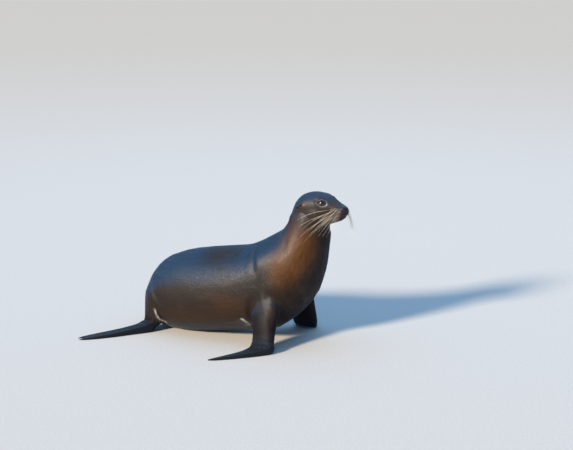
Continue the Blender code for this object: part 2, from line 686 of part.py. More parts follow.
def main():
    clear_scene()
    parts, cutters = collection("sea_lion"), collection("cutters")
    fore, left_fore, hind = Limb(FORE_LIMB), Limb(LEFT_FORE_LIMB), Limb(HIND_LIMB)
    under = box(Vector((0, 0, 0)), Vector((0, 0, -1)), Vector((1, 0, 0)), Vector((4, 4, 1)))
    ground = cutter("ground", under, cutters)
    flesh = build_flesh(fore, left_fore, hind, parts, ground)

    rump = flesh
    rump.name = rump.data.name = "rump"
    rump.data.materials.append(material("coat"))
    abdomen = split_plane(rump, *cut_plane(RUMP_CUT), "abdomen", "coat")
    chest = split_plane(abdomen, *cut_plane(LOIN_CUT), "chest", "coat")
    neck = split_plane(chest, *cut_plane(CHEST_CUT), "neck", "coat")
    head = split_plane(neck, *cut_plane(NECK_CUT), "head", "coat")
    build_head(head, parts, cutters)

    along = (TAIL_TIP - TAIL_ROOT).normalized()
    start = TAIL_ROOT.lerp(TAIL_TIP, TAIL_CUT)
    tail_box = partial(box, start, along, Vector((0, 1, 0)), Vector((0.10, 0.05, 0.10)))
    split_off(rump, tail_box, "tail", "coat", cutters)

    flippers = (
        ("fore", fore, FORE_WRIST, FORE_DIGITS, FORE_WEB_END, ELBOW_PLACE, chest, "fore_arm"),
        ("hind", hind, HIND_ANKLE, HIND_DIGITS, HIND_WEB_END, KNEE_PLACE, rump, "hind_leg"),
    )
    for which, limb, start, digits, web_end, cut, body, shank in flippers:
        name = f"{which}_flipper_right"
        blade = build_flipper(limb, start, digits, web_end, name, parts, ground)
        nails = []
        if which == "hind":
            for number, (share, _, _) in enumerate(digits[1:4], 1):
                mesh = bpy.data.meshes.new("nail")
                bm = nail(limb, share, 0.0)
                bm.to_mesh(mesh)
                bm.free()
                nails.append(add_object(f"hind_nail_right_{number}", mesh, parts, "nail"))
                bed = cutter(f"nail bed {number}", nail(limb, share, GAP), cutters)
                boolean(blade, bed, "DIFFERENCE")
        for right in (blade, *nails):
            left = copy_of(right, right.name.replace("right", "left"), right.data.materials[0].name)
            left.data.transform(Matrix.Scale(-1, 4, Vector((0, 1, 0))))
            left.data.flip_normals()
        middle, _, onward = limb.station(start)
        for side, word in ((-1, "right"), (1, "left")):
            flip = Vector((1, -side, 1))
            shape = left_fore if (which, word) == ("fore", "left") else limb
            sleeve = partial(shape.sleeve, cut, start + 1.2, side)
            piece = split_off(body, sleeve, f"{shank}_{word}", "coat", cutters)
            keep_side(piece, (middle - onward * GAP / 2) * flip, onward * flip)

    for obj in parts.objects:
        obj.data.transform(Matrix.Translation((MIDDLE, 0, 0)))


main()
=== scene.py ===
import math
from types import SimpleNamespace

import bmesh
import bpy
import numpy as np
from mathutils import Matrix, Vector
from mathutils.bvhtree import BVHTree


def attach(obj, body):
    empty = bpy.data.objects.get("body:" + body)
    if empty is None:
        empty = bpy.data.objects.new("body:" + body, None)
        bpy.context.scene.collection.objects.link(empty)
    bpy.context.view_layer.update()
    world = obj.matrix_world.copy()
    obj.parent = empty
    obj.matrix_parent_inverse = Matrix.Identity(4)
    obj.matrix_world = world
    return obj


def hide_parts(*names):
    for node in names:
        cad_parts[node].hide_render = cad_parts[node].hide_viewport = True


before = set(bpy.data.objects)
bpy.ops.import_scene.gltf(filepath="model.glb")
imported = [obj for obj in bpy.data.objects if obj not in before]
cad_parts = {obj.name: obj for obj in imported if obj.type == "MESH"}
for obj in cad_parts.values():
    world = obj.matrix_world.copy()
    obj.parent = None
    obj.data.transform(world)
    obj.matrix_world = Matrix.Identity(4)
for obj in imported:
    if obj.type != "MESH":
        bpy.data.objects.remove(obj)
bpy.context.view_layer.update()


# how each solid of flesh is laid out, in metres, before the skin goes over it
body = {
    "middle": 0.2762,  # from the fore flippers' axis back to the middle of the length
    "voxel": 0.0026,  # grid of the fused flesh
    "skull": (0.131, 0, 0.6665),
    "headTurn": -6,  # degrees
    # back x, back z, belly x, belly z, half width, widest height (share), squareness
    "trunk": (
        (-0.738, 0.085, -0.7, 0.045, 0.022, 0.5, 2),
        (-0.734, 0.15, -0.668, 0.03, 0.07, 0.48, 2),
        (-0.712, 0.216, -0.632, 0.014, 0.112, 0.46, 2.1),
        (-0.674, 0.288, -0.59, 0.002, 0.143, 0.46, 2.1),
        (-0.606, 0.353, -0.54, -0.004, 0.167, 0.46, 2.1),
        (-0.5, 0.394, -0.455, -0.004, 0.186, 0.46, 2.1),
        (-0.38, 0.418, -0.355, 0.008, 0.196, 0.46, 2.1),
        (-0.265, 0.435, -0.25, 0.023, 0.2, 0.47, 2.1),
        (-0.168, 0.45, -0.145, 0.04, 0.197, 0.48, 2.1),
        (-0.095, 0.482, -0.04, 0.051, 0.19, 0.49, 2.1),
        (-0.042, 0.513, 0.045, 0.099, 0.18, 0.5, 2),
        (-0.004, 0.535, 0.13, 0.179, 0.164, 0.51, 2),
        (0.019, 0.551, 0.192, 0.269, 0.145, 0.51, 2),
        (0.033, 0.574, 0.228, 0.364, 0.127, 0.51, 2),
        (0.043, 0.598, 0.238, 0.452, 0.113, 0.51, 2),
        (0.053, 0.624, 0.238, 0.526, 0.103, 0.51, 2),
        (0.068, 0.652, 0.233, 0.58, 0.094, 0.51, 2),
        (0.092, 0.684, 0.222, 0.614, 0.07, 0.51, 2),
    ),
    # from between the ears: x, top, bottom, half width, widest height (share), squareness
    "cranium": (
        (-0.062, -0.01, -0.05, 0.026, 0.5, 2),
        (-0.055, 0.014, -0.072, 0.052, 0.5, 2),
        (-0.028, 0.043, -0.085, 0.073, 0.5, 2.1),
        (0.008, 0.06, -0.088, 0.081, 0.5, 2.2),
        (0.044, 0.066, -0.086, 0.08, 0.5, 2.2),
        (0.076, 0.064, -0.08, 0.074, 0.52, 2.2),
        (0.102, 0.057, -0.07, 0.066, 0.52, 2.3),
        (0.123, 0.049, -0.06, 0.057, 0.5, 2.3),
        (0.144, 0.035, -0.05, 0.05, 0.47, 2.3),
        (0.164, 0.0225, -0.045, 0.046, 0.44, 2.3),
        (0.181, 0.0145, -0.042, 0.042, 0.44, 2.4),
        (0.195, 0.008, -0.039, 0.035, 0.44, 2.3),
        (0.204, 0.0015, -0.034, 0.025, 0.48, 2.2),
        (0.209, -0.007, -0.026, 0.013, 0.5, 2),
    ),
    "jaw": (
        (0.01, -0.04, -0.1, 0.05, 0.5, 2),
        (0.05, -0.042, -0.104, 0.056, 0.5, 2.1),
        (0.088, -0.042, -0.096, 0.05, 0.5, 2.2),
        (0.124, -0.04, -0.08, 0.04, 0.5, 2.2),
        (0.152, -0.036, -0.069, 0.033, 0.5, 2.2),
        (0.176, -0.033, -0.0595, 0.028, 0.5, 2.2),
        (0.19, -0.033, -0.05, 0.02, 0.5, 2),
        (0.199, -0.035, -0.045, 0.01, 0.5, 2),
    ),
    # right limbs: leading edge, trailing edge, thickness, taper towards the trailing edge
    "foreLimb": (
        ((0.068, -0.095, 0.33), (-0.085, -0.095, 0.305), 0.09, 0),
        ((0.064, -0.138, 0.24), (-0.086, -0.138, 0.215), 0.092, 0),
        ((0.059, -0.178, 0.162), (-0.076, -0.174, 0.14), 0.08, 0.1),
        ((0.058, -0.207, 0.1), (-0.062, -0.2, 0.086), 0.066, 0.2),
        ((0.064, -0.232, 0.055), (-0.054, -0.222, 0.048), 0.052, 0.3),
        ((0.07, -0.262, 0.022), (-0.052, -0.25, 0.019), 0.035, 0.4),
        ((0.03, -0.308, 0.011), (-0.066, -0.29, 0.009), 0.024, 0.4),
        ((-0.022, -0.36, 0.008), (-0.09, -0.333, 0.007), 0.019, 0.4),
        ((-0.078, -0.411, 0.006), (-0.118, -0.38, 0.006), 0.015, 0.4),
        ((-0.126, -0.45, 0.005), (-0.144, -0.428, 0.005), 0.012, 0.3),
        ((-0.157, -0.471, 0.003), (-0.162, -0.463, 0.003), 0.008, 0),
    ),
    # how much farther forward the left arm's first rows reach at their leading and trailing edges
    "leftReach": ((0.016, 0), (0.024, 0), (0.027, -0.004), (0.025, -0.006), (0.014, 0)),
    "foreWrist": 4.6,
    "foreWebEnd": 10,
    "foreDigits": (
        (0.09, 10, 0.09), (0.3, 9.3, 0.86), (0.51, 8.5, 0.97), (0.71, 7.7, 0.98), (0.89, 7, 0.99),
    ),
    "hindLimb": (
        ((-0.5, -0.08, 0.2), (-0.67, -0.075, 0.215), 0.12, 0),
        ((-0.545, -0.112, 0.12), (-0.698, -0.092, 0.135), 0.096, 0),
        ((-0.582, -0.126, 0.07), (-0.7, -0.098, 0.08), 0.08, 0),
        ((-0.604, -0.14, 0.036), (-0.698, -0.104, 0.042), 0.058, 0.1),
        ((-0.634, -0.176, 0.02), (-0.712, -0.136, 0.021), 0.04, 0.2),
        ((-0.69, -0.244, 0.012), (-0.758, -0.201, 0.012), 0.028, 0.2),
        ((-0.744, -0.314, 0.008), (-0.812, -0.272, 0.008), 0.02, 0.2),
        ((-0.798, -0.374, 0.006), (-0.856, -0.338, 0.006), 0.015, 0.2),
        ((-0.846, -0.415, 0.004), (-0.886, -0.388, 0.004), 0.011, 0.1),
        ((-0.876, -0.434, 0.003), (-0.898, -0.418, 0.003), 0.008, 0),
    ),
    "hindAnkle": 3.7,
    "hindWebEnd": 7.6,
    "hindDigits": (
        (0.11, 9, 0.11), (0.31, 8.45, 0.31), (0.5, 8.25, 0.5), (0.69, 8.35, 0.69), (0.89, 8.85, 0.9),
    ),
    "digitTaper": 0.6,
    "digitWidth": 0.0125,
    "digitDepth": 0.98,  # against the limb's thickness
    "webDepth": 0.62,
    "tail": ((-0.69, 0, 0.112), (-0.744, 0, 0.03), 0.019),
    # centre, radii, tilt about Y in degrees
    "shoulder": ((-0.015, -0.098, 0.3), (0.118, 0.086, 0.165), -14),
    "thigh": ((-0.6, -0.076, 0.155), (0.112, 0.08, 0.12), 18),
    "whiskerPad": ((0.169, 0.021, -0.014), (0.034, 0.025, 0.023), 6),
    "cheek": ((0.052, 0.04, -0.03), (0.07, 0.043, 0.05), 0),
    "brow": ((0.086, 0.036, 0.036), (0.036, 0.024, 0.02), 20),
}

headPlace = Matrix.Translation(body["skull"]) @ Matrix.Rotation(math.radians(body["headTurn"]), 4, "Z")
forward = Matrix.Translation((body["middle"], 0, 0))


def between(x, low, high):
    # 0 below low, 1 above high, and smooth in between
    t = np.clip((x - low) / (high - low), 0, 1)
    return t * t * (3 - 2 * t)


def hump(x, middle, width):
    return np.exp(-(((x - middle) / width) ** 2))


def near(points, centre, radii):
    # 1 at the centre, falling smoothly to 0 at the radii
    d = np.linalg.norm((points - np.array(centre)) / np.array(radii), axis=1)
    return np.clip(1 - d * d, 0, 1) ** 2


def mix(a, b, share):
    return a + (b - a) * share


def unit(v):
    return v / np.maximum(np.linalg.norm(v, axis=-1, keepdims=True), 1e-9)


def circle(count):
    angle = 2 * math.pi * np.arange(count) / count
    return np.cos(angle), np.sin(angle)


def power(k, exponent):
    return np.sign(k) * np.abs(k) ** exponent


def placed(points, matrix):
    matrix = np.array(matrix)
    return points @ matrix[:3, :3].T + matrix[:3, 3]


def headFrame(points):
    # from the body's frame to the head's own, with x towards the nose
    return placed(points, headPlace.inverted())


def onSide(points, sign):
    # every point, or its twin, on the animal's left (1) or right (-1); the limbs' tables are on the right
    return np.stack([points[:, 0], sign * np.abs(points[:, 1]), points[:, 2]], 1)


def smoothRows(rows, places):
    # a smooth run through rows of numbers, read at fractional places
    rows = np.array(rows, float)
    padded = np.vstack([2 * rows[0] - rows[1], rows, 2 * rows[-1] - rows[-2]])
    places = np.clip(np.asarray(places, float), 0, len(rows) - 1)
    i = np.minimum(places.astype(int), len(rows) - 2)
    t = (places - i)[:, None]
    a, b, c, d = (padded[i + k] for k in range(4))
    return 0.5 * (2 * b + (c - a) * t + (2 * a - 5 * b + 4 * c - d) * t**2 + (3 * b - a - 3 * c + d) * t**3)


def fineRows(rows, steps):
    return smoothRows(rows, np.linspace(0, len(rows) - 1, (len(rows) - 1) * steps + 1))


# shells are pairs of points and faces
def tube(rings):
    # a closed shell through rings of points
    rings = np.asarray(rings, float)
    count, around = rings.shape[:2]
    end = count * around
    points = np.vstack([rings.reshape(-1, 3), rings[0].mean(0), rings[-1].mean(0)])
    i, j = np.meshgrid(np.arange(count - 1), np.arange(around), indexing="ij")
    k = (j + 1) % around
    faces = np.stack([i * around + j, i * around + k, (i + 1) * around + k, (i + 1) * around + j], -1)
    faces = faces.reshape(-1, 4).tolist()
    for n in range(around):
        m = (n + 1) % around
        faces += [[m, n, end], [end - around + n, end - around + m, end + 1]]
    return points, faces


def sweep(middle, across, wide, outward, deep, around):
    # a closed shell of oval rings along a line
    c, s = (k[None, :, None] for k in circle(around))
    across, outward = (np.broadcast_to(k, middle.shape)[:, None] for k in (across, outward))
    wide, deep = (np.reshape(k, (len(middle), -1, 1)) for k in (wide, deep))
    return tube(middle[:, None] + across * wide * c + outward * deep * s)


def moved(shell, matrix):
    return placed(shell[0], matrix), shell[1]


def mirrored(shell):
    return shell[0] * (1, -1, 1), [face[::-1] for face in shell[1]]


def sectionTube(rows, around):
    # rounded-square sections between a midline point above and one below
    c, s = circle(around)
    rings = []
    for backX, backZ, bellyX, bellyZ, halfWidth, widest, squareness in rows:
        across, up = power(c, 2 / squareness), power(s, 2 / squareness)
        back, belly = np.array((backX, 0, backZ)), np.array((bellyX, 0, bellyZ))
        middle = belly + (back - belly) * widest
        reach = np.where(up[:, None] > 0, back - middle, middle - belly)
        rings.append(middle + reach * up[:, None] + across[:, None] * np.array((0, halfWidth, 0)))
    return tube(rings)


def headTube(table):
    rows = [(x, top, x, bottom, *rest) for x, top, bottom, *rest in table]
    return moved(sectionTube(fineRows(rows, 6), 64), headPlace)


def ball(centre, radii, tilt):
    latitude = np.linspace(-math.pi / 2 + 0.02, math.pi / 2 - 0.02, 26)
    middle = np.sin(latitude)[:, None] * (0, 0, 1)
    shell = sweep(middle, (1, 0, 0), np.cos(latitude), (0, 1, 0), np.cos(latitude), 40)
    place = Matrix.Translation(centre) @ Matrix.Rotation(math.radians(tilt), 4, "Y")
    return moved(shell, place @ Matrix.Diagonal((*radii, 1)))


class Limb:
    # a limb's frame: at any place along it, its middle, size and directions
    def __init__(self, table):
        self.rows = np.array([(*lead, *trail, *rest) for lead, trail, *rest in table])
        self.last = len(table) - 1

    def at(self, places):
        places = np.atleast_1d(places)
        row = smoothRows(self.rows, places)
        step = smoothRows(self.rows, places + 0.05) - smoothRows(self.rows, places - 0.05)
        width = row[:, 0:3] - row[:, 3:6]
        across = unit(width)
        outward = unit(np.cross(unit(step[:, 0:3] + step[:, 3:6]), across))
        return SimpleNamespace(
            middle=(row[:, 0:3] + row[:, 3:6]) / 2,
            halfWidth=np.linalg.norm(width, axis=1) / 2,
            halfThick=row[:, 6] / 2,
            taper=row[:, 7],
            across=across,
            outward=outward,
            onward=unit(np.cross(across, outward)),
        )

    def tube(self, start, end, flatten=1.0, around=40):
        s = self.at(np.linspace(start, end, int((end - start) * 8) + 2))
        thick = s.halfThick[:, None] * flatten * (1 + s.taper[:, None] * circle(around)[0])
        return sweep(s.middle, s.across, s.halfWidth, s.outward, thick, around)

    def digit(self, start, share, end, endShare):
        t = np.linspace(0, 1, 30)
        now = share + (endShare - share) * t**1.6
        s = self.at(start + (end - start) * t)
        middle = s.middle + s.across * (s.halfWidth * (1 - 2 * now))[:, None]
        fade = np.sqrt(np.maximum(1 - t**6, 0.02))
        wide = body["digitWidth"] * (1 - body["digitTaper"] * t) * fade
        deep = s.halfThick * body["digitDepth"] * (1 + s.taper * (1 - 2 * now)) * fade
        return sweep(middle, s.across, wide, s.outward, deep, 16)


foreLimb, hindLimb, leftArm = Limb(body["foreLimb"]), Limb(body["hindLimb"]), Limb(body["foreLimb"])
for row, (lead, trail) in enumerate(body["leftReach"]):
    leftArm.rows[row, [0, 3]] += (lead, trail)


def fleshShells():
    root, tip, radius = (np.array(value) for value in body["tail"])
    t = np.linspace(0, 1, 14)
    r = radius * np.sqrt(np.maximum(1 - t**3, 0.05))
    up = np.cross(unit(tip - root), (0, 1, 0))
    shells = [sectionTube(fineRows(body["trunk"], 8), 96), headTube(body["cranium"]), headTube(body["jaw"])]
    shells.append(sweep(root + (tip - root) * t[:, None], (0, 1, 0), 1.2 * r, up, 0.7 * r, 24))
    halves = [ball(*body["shoulder"]), ball(*body["thigh"]), hindLimb.tube(0, body["hindAnkle"] + 0.6)]
    wrist = body["foreWrist"] + 0.6
    shells += [foreLimb.tube(0, wrist), mirrored(leftArm.tube(0, wrist))]
    for limb, start, webEnd, digits in (
        (foreLimb, body["foreWrist"], body["foreWebEnd"], body["foreDigits"]),
        (hindLimb, body["hindAnkle"], body["hindWebEnd"], body["hindDigits"]),
    ):
        halves.append(limb.tube(start - 0.3, webEnd, body["webDepth"]))
        halves += [limb.digit(start - 0.2, *digit) for digit in digits]
    for name in ("whiskerPad", "cheek", "brow"):
        side = ball(*body[name])
        shells += [moved(side, headPlace), moved(mirrored(side), headPlace)]
    return shells + halves + [mirrored(half) for half in halves]


# meshes
def meshOf(name, points, faces, edges=()):
    mesh = bpy.data.meshes.new(name)
    mesh.from_pydata([tuple(p) for p in points], edges, faces)
    mesh.update()
    return mesh


def addPiece(name, data):
    piece = bpy.data.objects.new(name, data)
    bpy.context.scene.collection.objects.link(piece)
    return piece


def plainMesh(piece):
    # the mesh that the piece's modifiers give, with the modifiers taken off
    bpy.context.view_layer.update()
    graph = bpy.context.evaluated_depsgraph_get()
    mesh = bpy.data.meshes.new_from_object(piece.evaluated_get(graph))
    piece.modifiers.clear()
    piece.data = mesh
    return mesh


def readAll(items, name, width, kind=float):
    values = np.empty(len(items) * width, kind)
    items.foreach_get(name, values)
    return values.reshape(-1, width)


def pointsOf(mesh):
    return readAll(mesh.vertices, "co", 3)


def normalsOf(mesh):
    return readAll(mesh.vertex_normals, "vector", 3)


def setPoints(mesh, points):
    mesh.vertices.foreach_set("co", points.ravel())
    mesh.update()


def store(mesh, name, values):
    kinds = {1: ("FLOAT", "value"), 2: ("FLOAT2", "vector"), 3: ("FLOAT_VECTOR", "vector")}
    kind, key = kinds[1 if values.ndim == 1 else values.shape[1]]
    mesh.attributes.new(name, kind, "POINT").data.foreach_set(key, np.asarray(values, np.float32).ravel())


def relax(mesh, values, weight, times):
    # Laplacian smoothing over a mesh's edges, with a weight for each point
    a, b = readAll(mesh.edges, "vertices", 2, int).T
    count = len(values)
    degree = np.maximum(np.bincount(np.concatenate([a, b]), minlength=count), 1)[:, None]
    weight = np.broadcast_to(weight, count)[:, None]
    for _ in range(times):
        total = [np.bincount(a, v[b], count) + np.bincount(b, v[a], count) for v in values.T]
        values = values + (np.stack(total, 1) / degree - values) * weight
    return values


def editMesh(mesh, change, *details):
    bm = bmesh.new()
    bm.from_mesh(mesh)
    bm.verts.ensure_lookup_table()
    change(bm, *details)
    bm.to_mesh(mesh)
    bm.free()


def turnOutward(bm):
    bmesh.ops.recalc_face_normals(bm, faces=bm.faces)


def subdivideWhere(bm, chosen):
    edges = [e for e in bm.edges if chosen[e.verts[0].index] and chosen[e.verts[1].index]]
    bmesh.ops.subdivide_edges(bm, edges=edges, cuts=1, use_grid_fill=True)


def keepLargest(bm):
    # drops the small inner shells that a remesh leaves where thin walls cross
    left, shells = set(bm.verts), []
    while left:
        shell, edge = set(), {left.pop()}
        while edge:
            shell |= edge
            edge = {e.other_vert(v) for v in edge for e in v.link_edges} - shell
        left -= shell
        shells.append(shell)
    shells.sort(key=len)
    bmesh.ops.delete(bm, geom=[v for shell in shells[:-1] for v in shell], context="VERTS")


def finishPiece(piece, material, slot, *replaced):
    piece.data.materials.append(material)
    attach(piece, "root")
    if replaced:
        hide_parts(*replaced)


def routeDistance(points, route):
    # distance to a line through a few points, the share along it, and the way from it
    fine = fineRows(route, 6)
    best, share, offset = np.full(len(points), 9.0), np.zeros(len(points)), np.zeros((len(points), 3))
    for i, (a, b) in enumerate(zip(fine, fine[1:])):
        t = np.clip((points - a) @ (b - a) / ((b - a) @ (b - a)), 0, 1)
        away = points - a - t[:, None] * (b - a)
        d = np.linalg.norm(away, axis=1)
        closer = d < best
        best[closer], offset[closer] = d[closer], away[closer]
        share[closer] = (i + t[closer]) / (len(fine) - 1)
    return best, share, offset


# the lie of the coat, and where each point is along and round the body or a limb
def limbPlace(points, limb):
    # the place along a limb, how far out of it a point is (1 on its surface), and the frames it is read in
    side = onSide(points, -1)
    places = np.linspace(0, limb.last, limb.last * 5 + 1)
    s = limb.at(places)
    best, found = np.full(len(points), 9.0), np.zeros(len(points), int)
    for i in range(len(places)):
        away = side - s.middle[i]
        across = (away @ s.across[i]) / s.halfWidth[i]
        outward = (away @ s.outward[i]) / (s.halfThick[i] + 0.004)
        d = np.sqrt(across**2 + outward**2 + ((away @ s.onward[i]) / 0.03) ** 2)
        closer = d < best
        best[closer], found[closer] = d[closer], i
    return places[found], best, found, s


def spine():
    # from the nose back along the middle of the head, neck and trunk to the tail
    count = 90
    head = [(x, 0, -0.012 - 0.06 * (0.2 - x) ** 2) for x in np.linspace(0.20, 0.0, 11)]
    head = placed(np.array(head), headPlace)
    rows = np.array(body["trunk"])[::-1][2:]
    trunk = np.stack([(rows[:, 0] + rows[:, 2]) / 2, 0 * rows[:, 0], (rows[:, 1] + rows[:, 3]) / 2], 1)
    way = np.vstack([head, trunk])
    way = smoothRows(way, np.linspace(0, len(way) - 1, count))
    length = np.concatenate([[0], np.cumsum(np.linalg.norm(np.diff(way, axis=0), axis=1))])
    even = np.linspace(0, length[-1], count)
    way = np.stack([np.interp(even, length, k) for k in way.T], 1)
    for _ in range(6):
        way[1:-1] = way[1:-1] * 0.5 + (way[:-2] + way[2:]) * 0.25
    return way, unit(np.gradient(way, axis=0)), even


def lieOfCoat(points, normals):
    # the way the hair lies, the coat's own coordinates, the unwrap for the bake, and the share on a limb
    way, ahead, length = spine()
    total, s, axis, centre = 0, 0, 0, 0
    for middle, onward, place in zip(way, ahead, length):
        away = points - middle
        w = np.exp(-((np.linalg.norm(away, axis=1) / 0.07) ** 2)) + 1e-12
        total = total + w
        s = s + w * (place + away @ onward)
        axis = axis + w[:, None] * onward
        centre = centre + w[:, None] * middle
    s, axis, away = s / total, unit(axis), points - centre / total[:, None]
    aside, above = away[:, 1], np.sum(away * unit(-np.cross((0, 1, 0), axis)), 1)
    around = np.arctan2(above, aside) / (2 * math.pi) + 0.5
    grain = np.stack([s, aside, above], 1)
    unwrap = np.stack([0.02 + 0.96 * s / length[-1], 0.36 + 0.62 * around], 1)
    flow = axis + np.array((0, 0, -0.25))
    onLimb, isLeft = np.zeros(len(points)), points[:, 1] > 0
    for tile, (limb, start, full) in enumerate(((foreLimb, 1.0, 2.4), (hindLimb, 1.2, 2.6))):
        place, out, found, frames = limbPlace(points, limb)
        share = between(place, start, full) * (1 - between(out, 1.25, 1.7))
        onLimb = np.maximum(onLimb, share)
        away, onward = onSide(points, -1) - frames.middle[found], frames.onward[found]
        across, outward = (np.sum(away * k[found], 1) for k in (frames.across, frames.outward))
        along = place * 0.045 + np.sum(away * onward, 1) * 0.3
        grain = mix(grain, np.stack([along + 3, across, outward], 1), share[:, None])
        flow = mix(flow, onward * np.where(isLeft[:, None], (1, -1, 1), 1), share[:, None])
        angle = np.arctan2(outward / frames.halfThick[found], across / frames.halfWidth[found])
        column = tile * 0.5 + np.where(isLeft, 0.25, 0)
        onTile = (0.02 + column + 0.2 * place / limb.last, 0.02 + 0.3 * (angle / (2 * math.pi) + 0.5))
        unwrap = np.where(share[:, None] > 0.5, np.stack(onTile, 1), unwrap)
    flow = flow - normals * np.sum(flow * normals, 1)[:, None]
    return unit(flow), grain, unwrap, onLimb


# the skin's own forms
face = {
    "eye": (0.0985, 0.0448, 0.0215),  # the eyeball's middle, from between the ears
    "eyeRadius": 0.0220,
    "eyeAxis": (0.42, 0.88, 0.20),
    "eyeWide": 0.0204,  # half the opening between the lids
    "eyeUpper": 0.0148,
    "eyeLower": 0.0132,
    "eyeSquareness": 1.5,  # 2 is an oval, 1 a diamond
    "eyeSlant": -10,  # degrees; the inner corner is the lower one
    "lidDepth": 0.0018,
    "lidEdge": 0.0012,
    # rolls of skin round the eye: ring (1 at the lids' edge), width, height, share below and above
    "lidRolls": (
        (1.22, 0.12, 0.0008, 0.8, 1.6),
        (1.55, 0.12, -0.0015, 0.5, 1.4),
        (1.85, 0.20, 0.0008, 1, 0),
    ),
    "mouthCorner": 0.130,
    "mouthFront": 0.207,
    "mouthHeight": -0.0325,
    "mouthRise": 0.0035,  # at the corner
    "mouthDepth": 0.0036,
    # from the mouth's line: height, width, swelling
    "lips": ((0.0048, 0.0030, 0.0010), (-0.0045, 0.0030, -0.0009)),
    "nosePad": (0.0040, 0.0200, 0.0120),  # height of its middle, half width, half height
    "nostril": (0.0088, 0.0005),  # from the midline, height
    "nostrilHalf": (0.0062, 0.0019),  # half length, half width
    "nostrilTilt": 48,  # degrees
    "nostrilDepth": 0.006,
    # lines pressed into the left half: width, depth, and a route
    "lines": (
        (0.006, 0.0016, (0.150, 0.046, 0.004), (0.140, 0.049, -0.010), (0.133, 0.048, -0.024)),
        (0.0035, 0.0012, (0.118, 0.056, 0.016), (0.130, 0.050, 0.012), (0.142, 0.046, 0.008)),
        (0.005, 0.0010, (0.122, 0.049, 0.030), (0.110, 0.055, 0.040), (0.094, 0.062, 0.043)),
        (0.006, 0.0012, (0.075, 0.071, 0.006), (0.094, 0.068, -0.004), (0.114, 0.060, -0.004)),
    ),
}

# folds of skin on the right side: width, depth, the ridge beside it, and a route
folds = {
    "scapula": (0.011, 0.0022, 0.0013, (-0.166, -0.118, 0.411), (-0.158, -0.078, 0.437),
        (-0.14, -0.045, 0.453), (-0.105, -0.015, 0.47)),
    "withers": (0.014, 0.0036, 0.0018, (-0.1, -0.055, 0.462), (-0.094, -0.115, 0.441),
        (-0.08, -0.152, 0.405), (-0.075, -0.176, 0.355)),
    "armpit": (0.009, 0.006, 0.0062, (-0.146, -0.172, 0.136), (-0.124, -0.164, 0.131),
        (-0.106, -0.146, 0.112), (-0.098, -0.116, 0.084)),
    "elbow": (0.014, 0.006, 0.0024, (-0.096, -0.14, 0.115), (-0.086, -0.166, 0.16),
        (-0.08, -0.182, 0.205), (-0.072, -0.188, 0.25)),
    "armFront": (0.013, 0.006, 0.0022, (0.066, -0.128, 0.13), (0.068, -0.15, 0.172),
        (0.058, -0.176, 0.215), (0.038, -0.186, 0.262)),
    "flank": (0.009, 0.0066, 0.004, (-0.606, -0.156, 0.128), (-0.596, -0.146, 0.092),
        (-0.578, -0.132, 0.062), (-0.548, -0.128, 0.044)),
    "thigh": (0.016, 0.0034, 0.0016, (-0.56, -0.15, 0.12), (-0.585, -0.16, 0.165),
        (-0.62, -0.158, 0.205)),
    "nape": (0.014, 0.0026, 0.001, (0.04, -0.03, 0.585), (0.052, -0.074, 0.556), (0.066, -0.104, 0.522),
        (0.073, -0.122, 0.48), (0.071, -0.136, 0.44)),
    "throat": (0.01, 0.003, 0.0012, (0.232, -0.01, 0.582), (0.214, -0.052, 0.592),
        (0.184, -0.082, 0.606)),
    "throatLow": (0.012, 0.0018, 0.001, (0.24, -0.01, 0.548), (0.218, -0.06, 0.556),
        (0.182, -0.092, 0.572)),
    "wrist": (0.007, 0.0016, 0.0012, (0.06, -0.262, 0.044), (0.01, -0.262, 0.046),
        (-0.05, -0.252, 0.04)),
    "wristLow": (0.006, 0.0013, 0.001, (0.056, -0.27, 0.032), (0.006, -0.276, 0.03),
        (-0.054, -0.264, 0.026)),
    "ankle": (0.006, 0.0014, 0.001, (-0.64, -0.168, 0.03), (-0.676, -0.164, 0.04),
        (-0.704, -0.142, 0.034)),
}
openFolds = ("throat", "throatLow", "nape")  # these fade at their far end alone
# the ridge beside these deep folds gets a whitish painted highlight as well as gloss
deepFolds = ("armpit", "flank")  # these gleam

# soft muscle and fat, on the right side: height, centre, radii, and whether it is on both sides
muscles = (
    (0.0045, (0.100, -0.120, 0.400), (0.07, 0.08, 0.17), True),
    (-0.0060, (0.080, -0.262, 0.026), (0.030, 0.035, 0.030), False),
    (-0.0035, (-0.010, -0.165, 0.330), (0.05, 0.07, 0.13), True),
)


def onBlade(points):
    # 0 on the body, 1 on the hands and feet
    side, share = onSide(points, 1), 0
    for limb, start, reach, back, front in (
        (foreLimb, body["foreWrist"], 0.22, -0.3, 9),
        (hindLimb, body["hindAnkle"], 0.11, -9, -0.5),
    ):
        s = limb.at(start)
        along = (side * (1, -1, 1) - s.middle[0]) @ s.onward[0]
        here = (side[:, 1] > reach) & (side[:, 0] > back) & (side[:, 0] < front)
        share = np.maximum(share, between(along, -0.02, 0.012) * here)
    return share


def eyeAxes():
    # forwards, up and outward at the left eye
    a = unit(np.array(face["eyeAxis"]))
    u = unit(np.cross(a, (0, 0, 1)))
    w = np.cross(u, a)
    tilt = math.radians(face["eyeSlant"])
    return u * math.cos(tilt) + w * math.sin(tilt), w * math.cos(tilt) - u * math.sin(tilt), a


def eyePlace(head):
    # in the nearer eye's frame: forward, up, outward, and the ring of the opening (1 at the lids' edge)
    away = onSide(head, 1) - np.array(face["eye"])
    forwards, up, outward = (away @ k for k in eyeAxes())
    high, bend = np.where(up > 0, face["eyeUpper"], face["eyeLower"]), face["eyeSquareness"]
    ring = (np.abs(forwards / face["eyeWide"]) ** bend + np.abs(up / high) ** bend) ** (1 / bend)
    return forwards, up, outward, ring


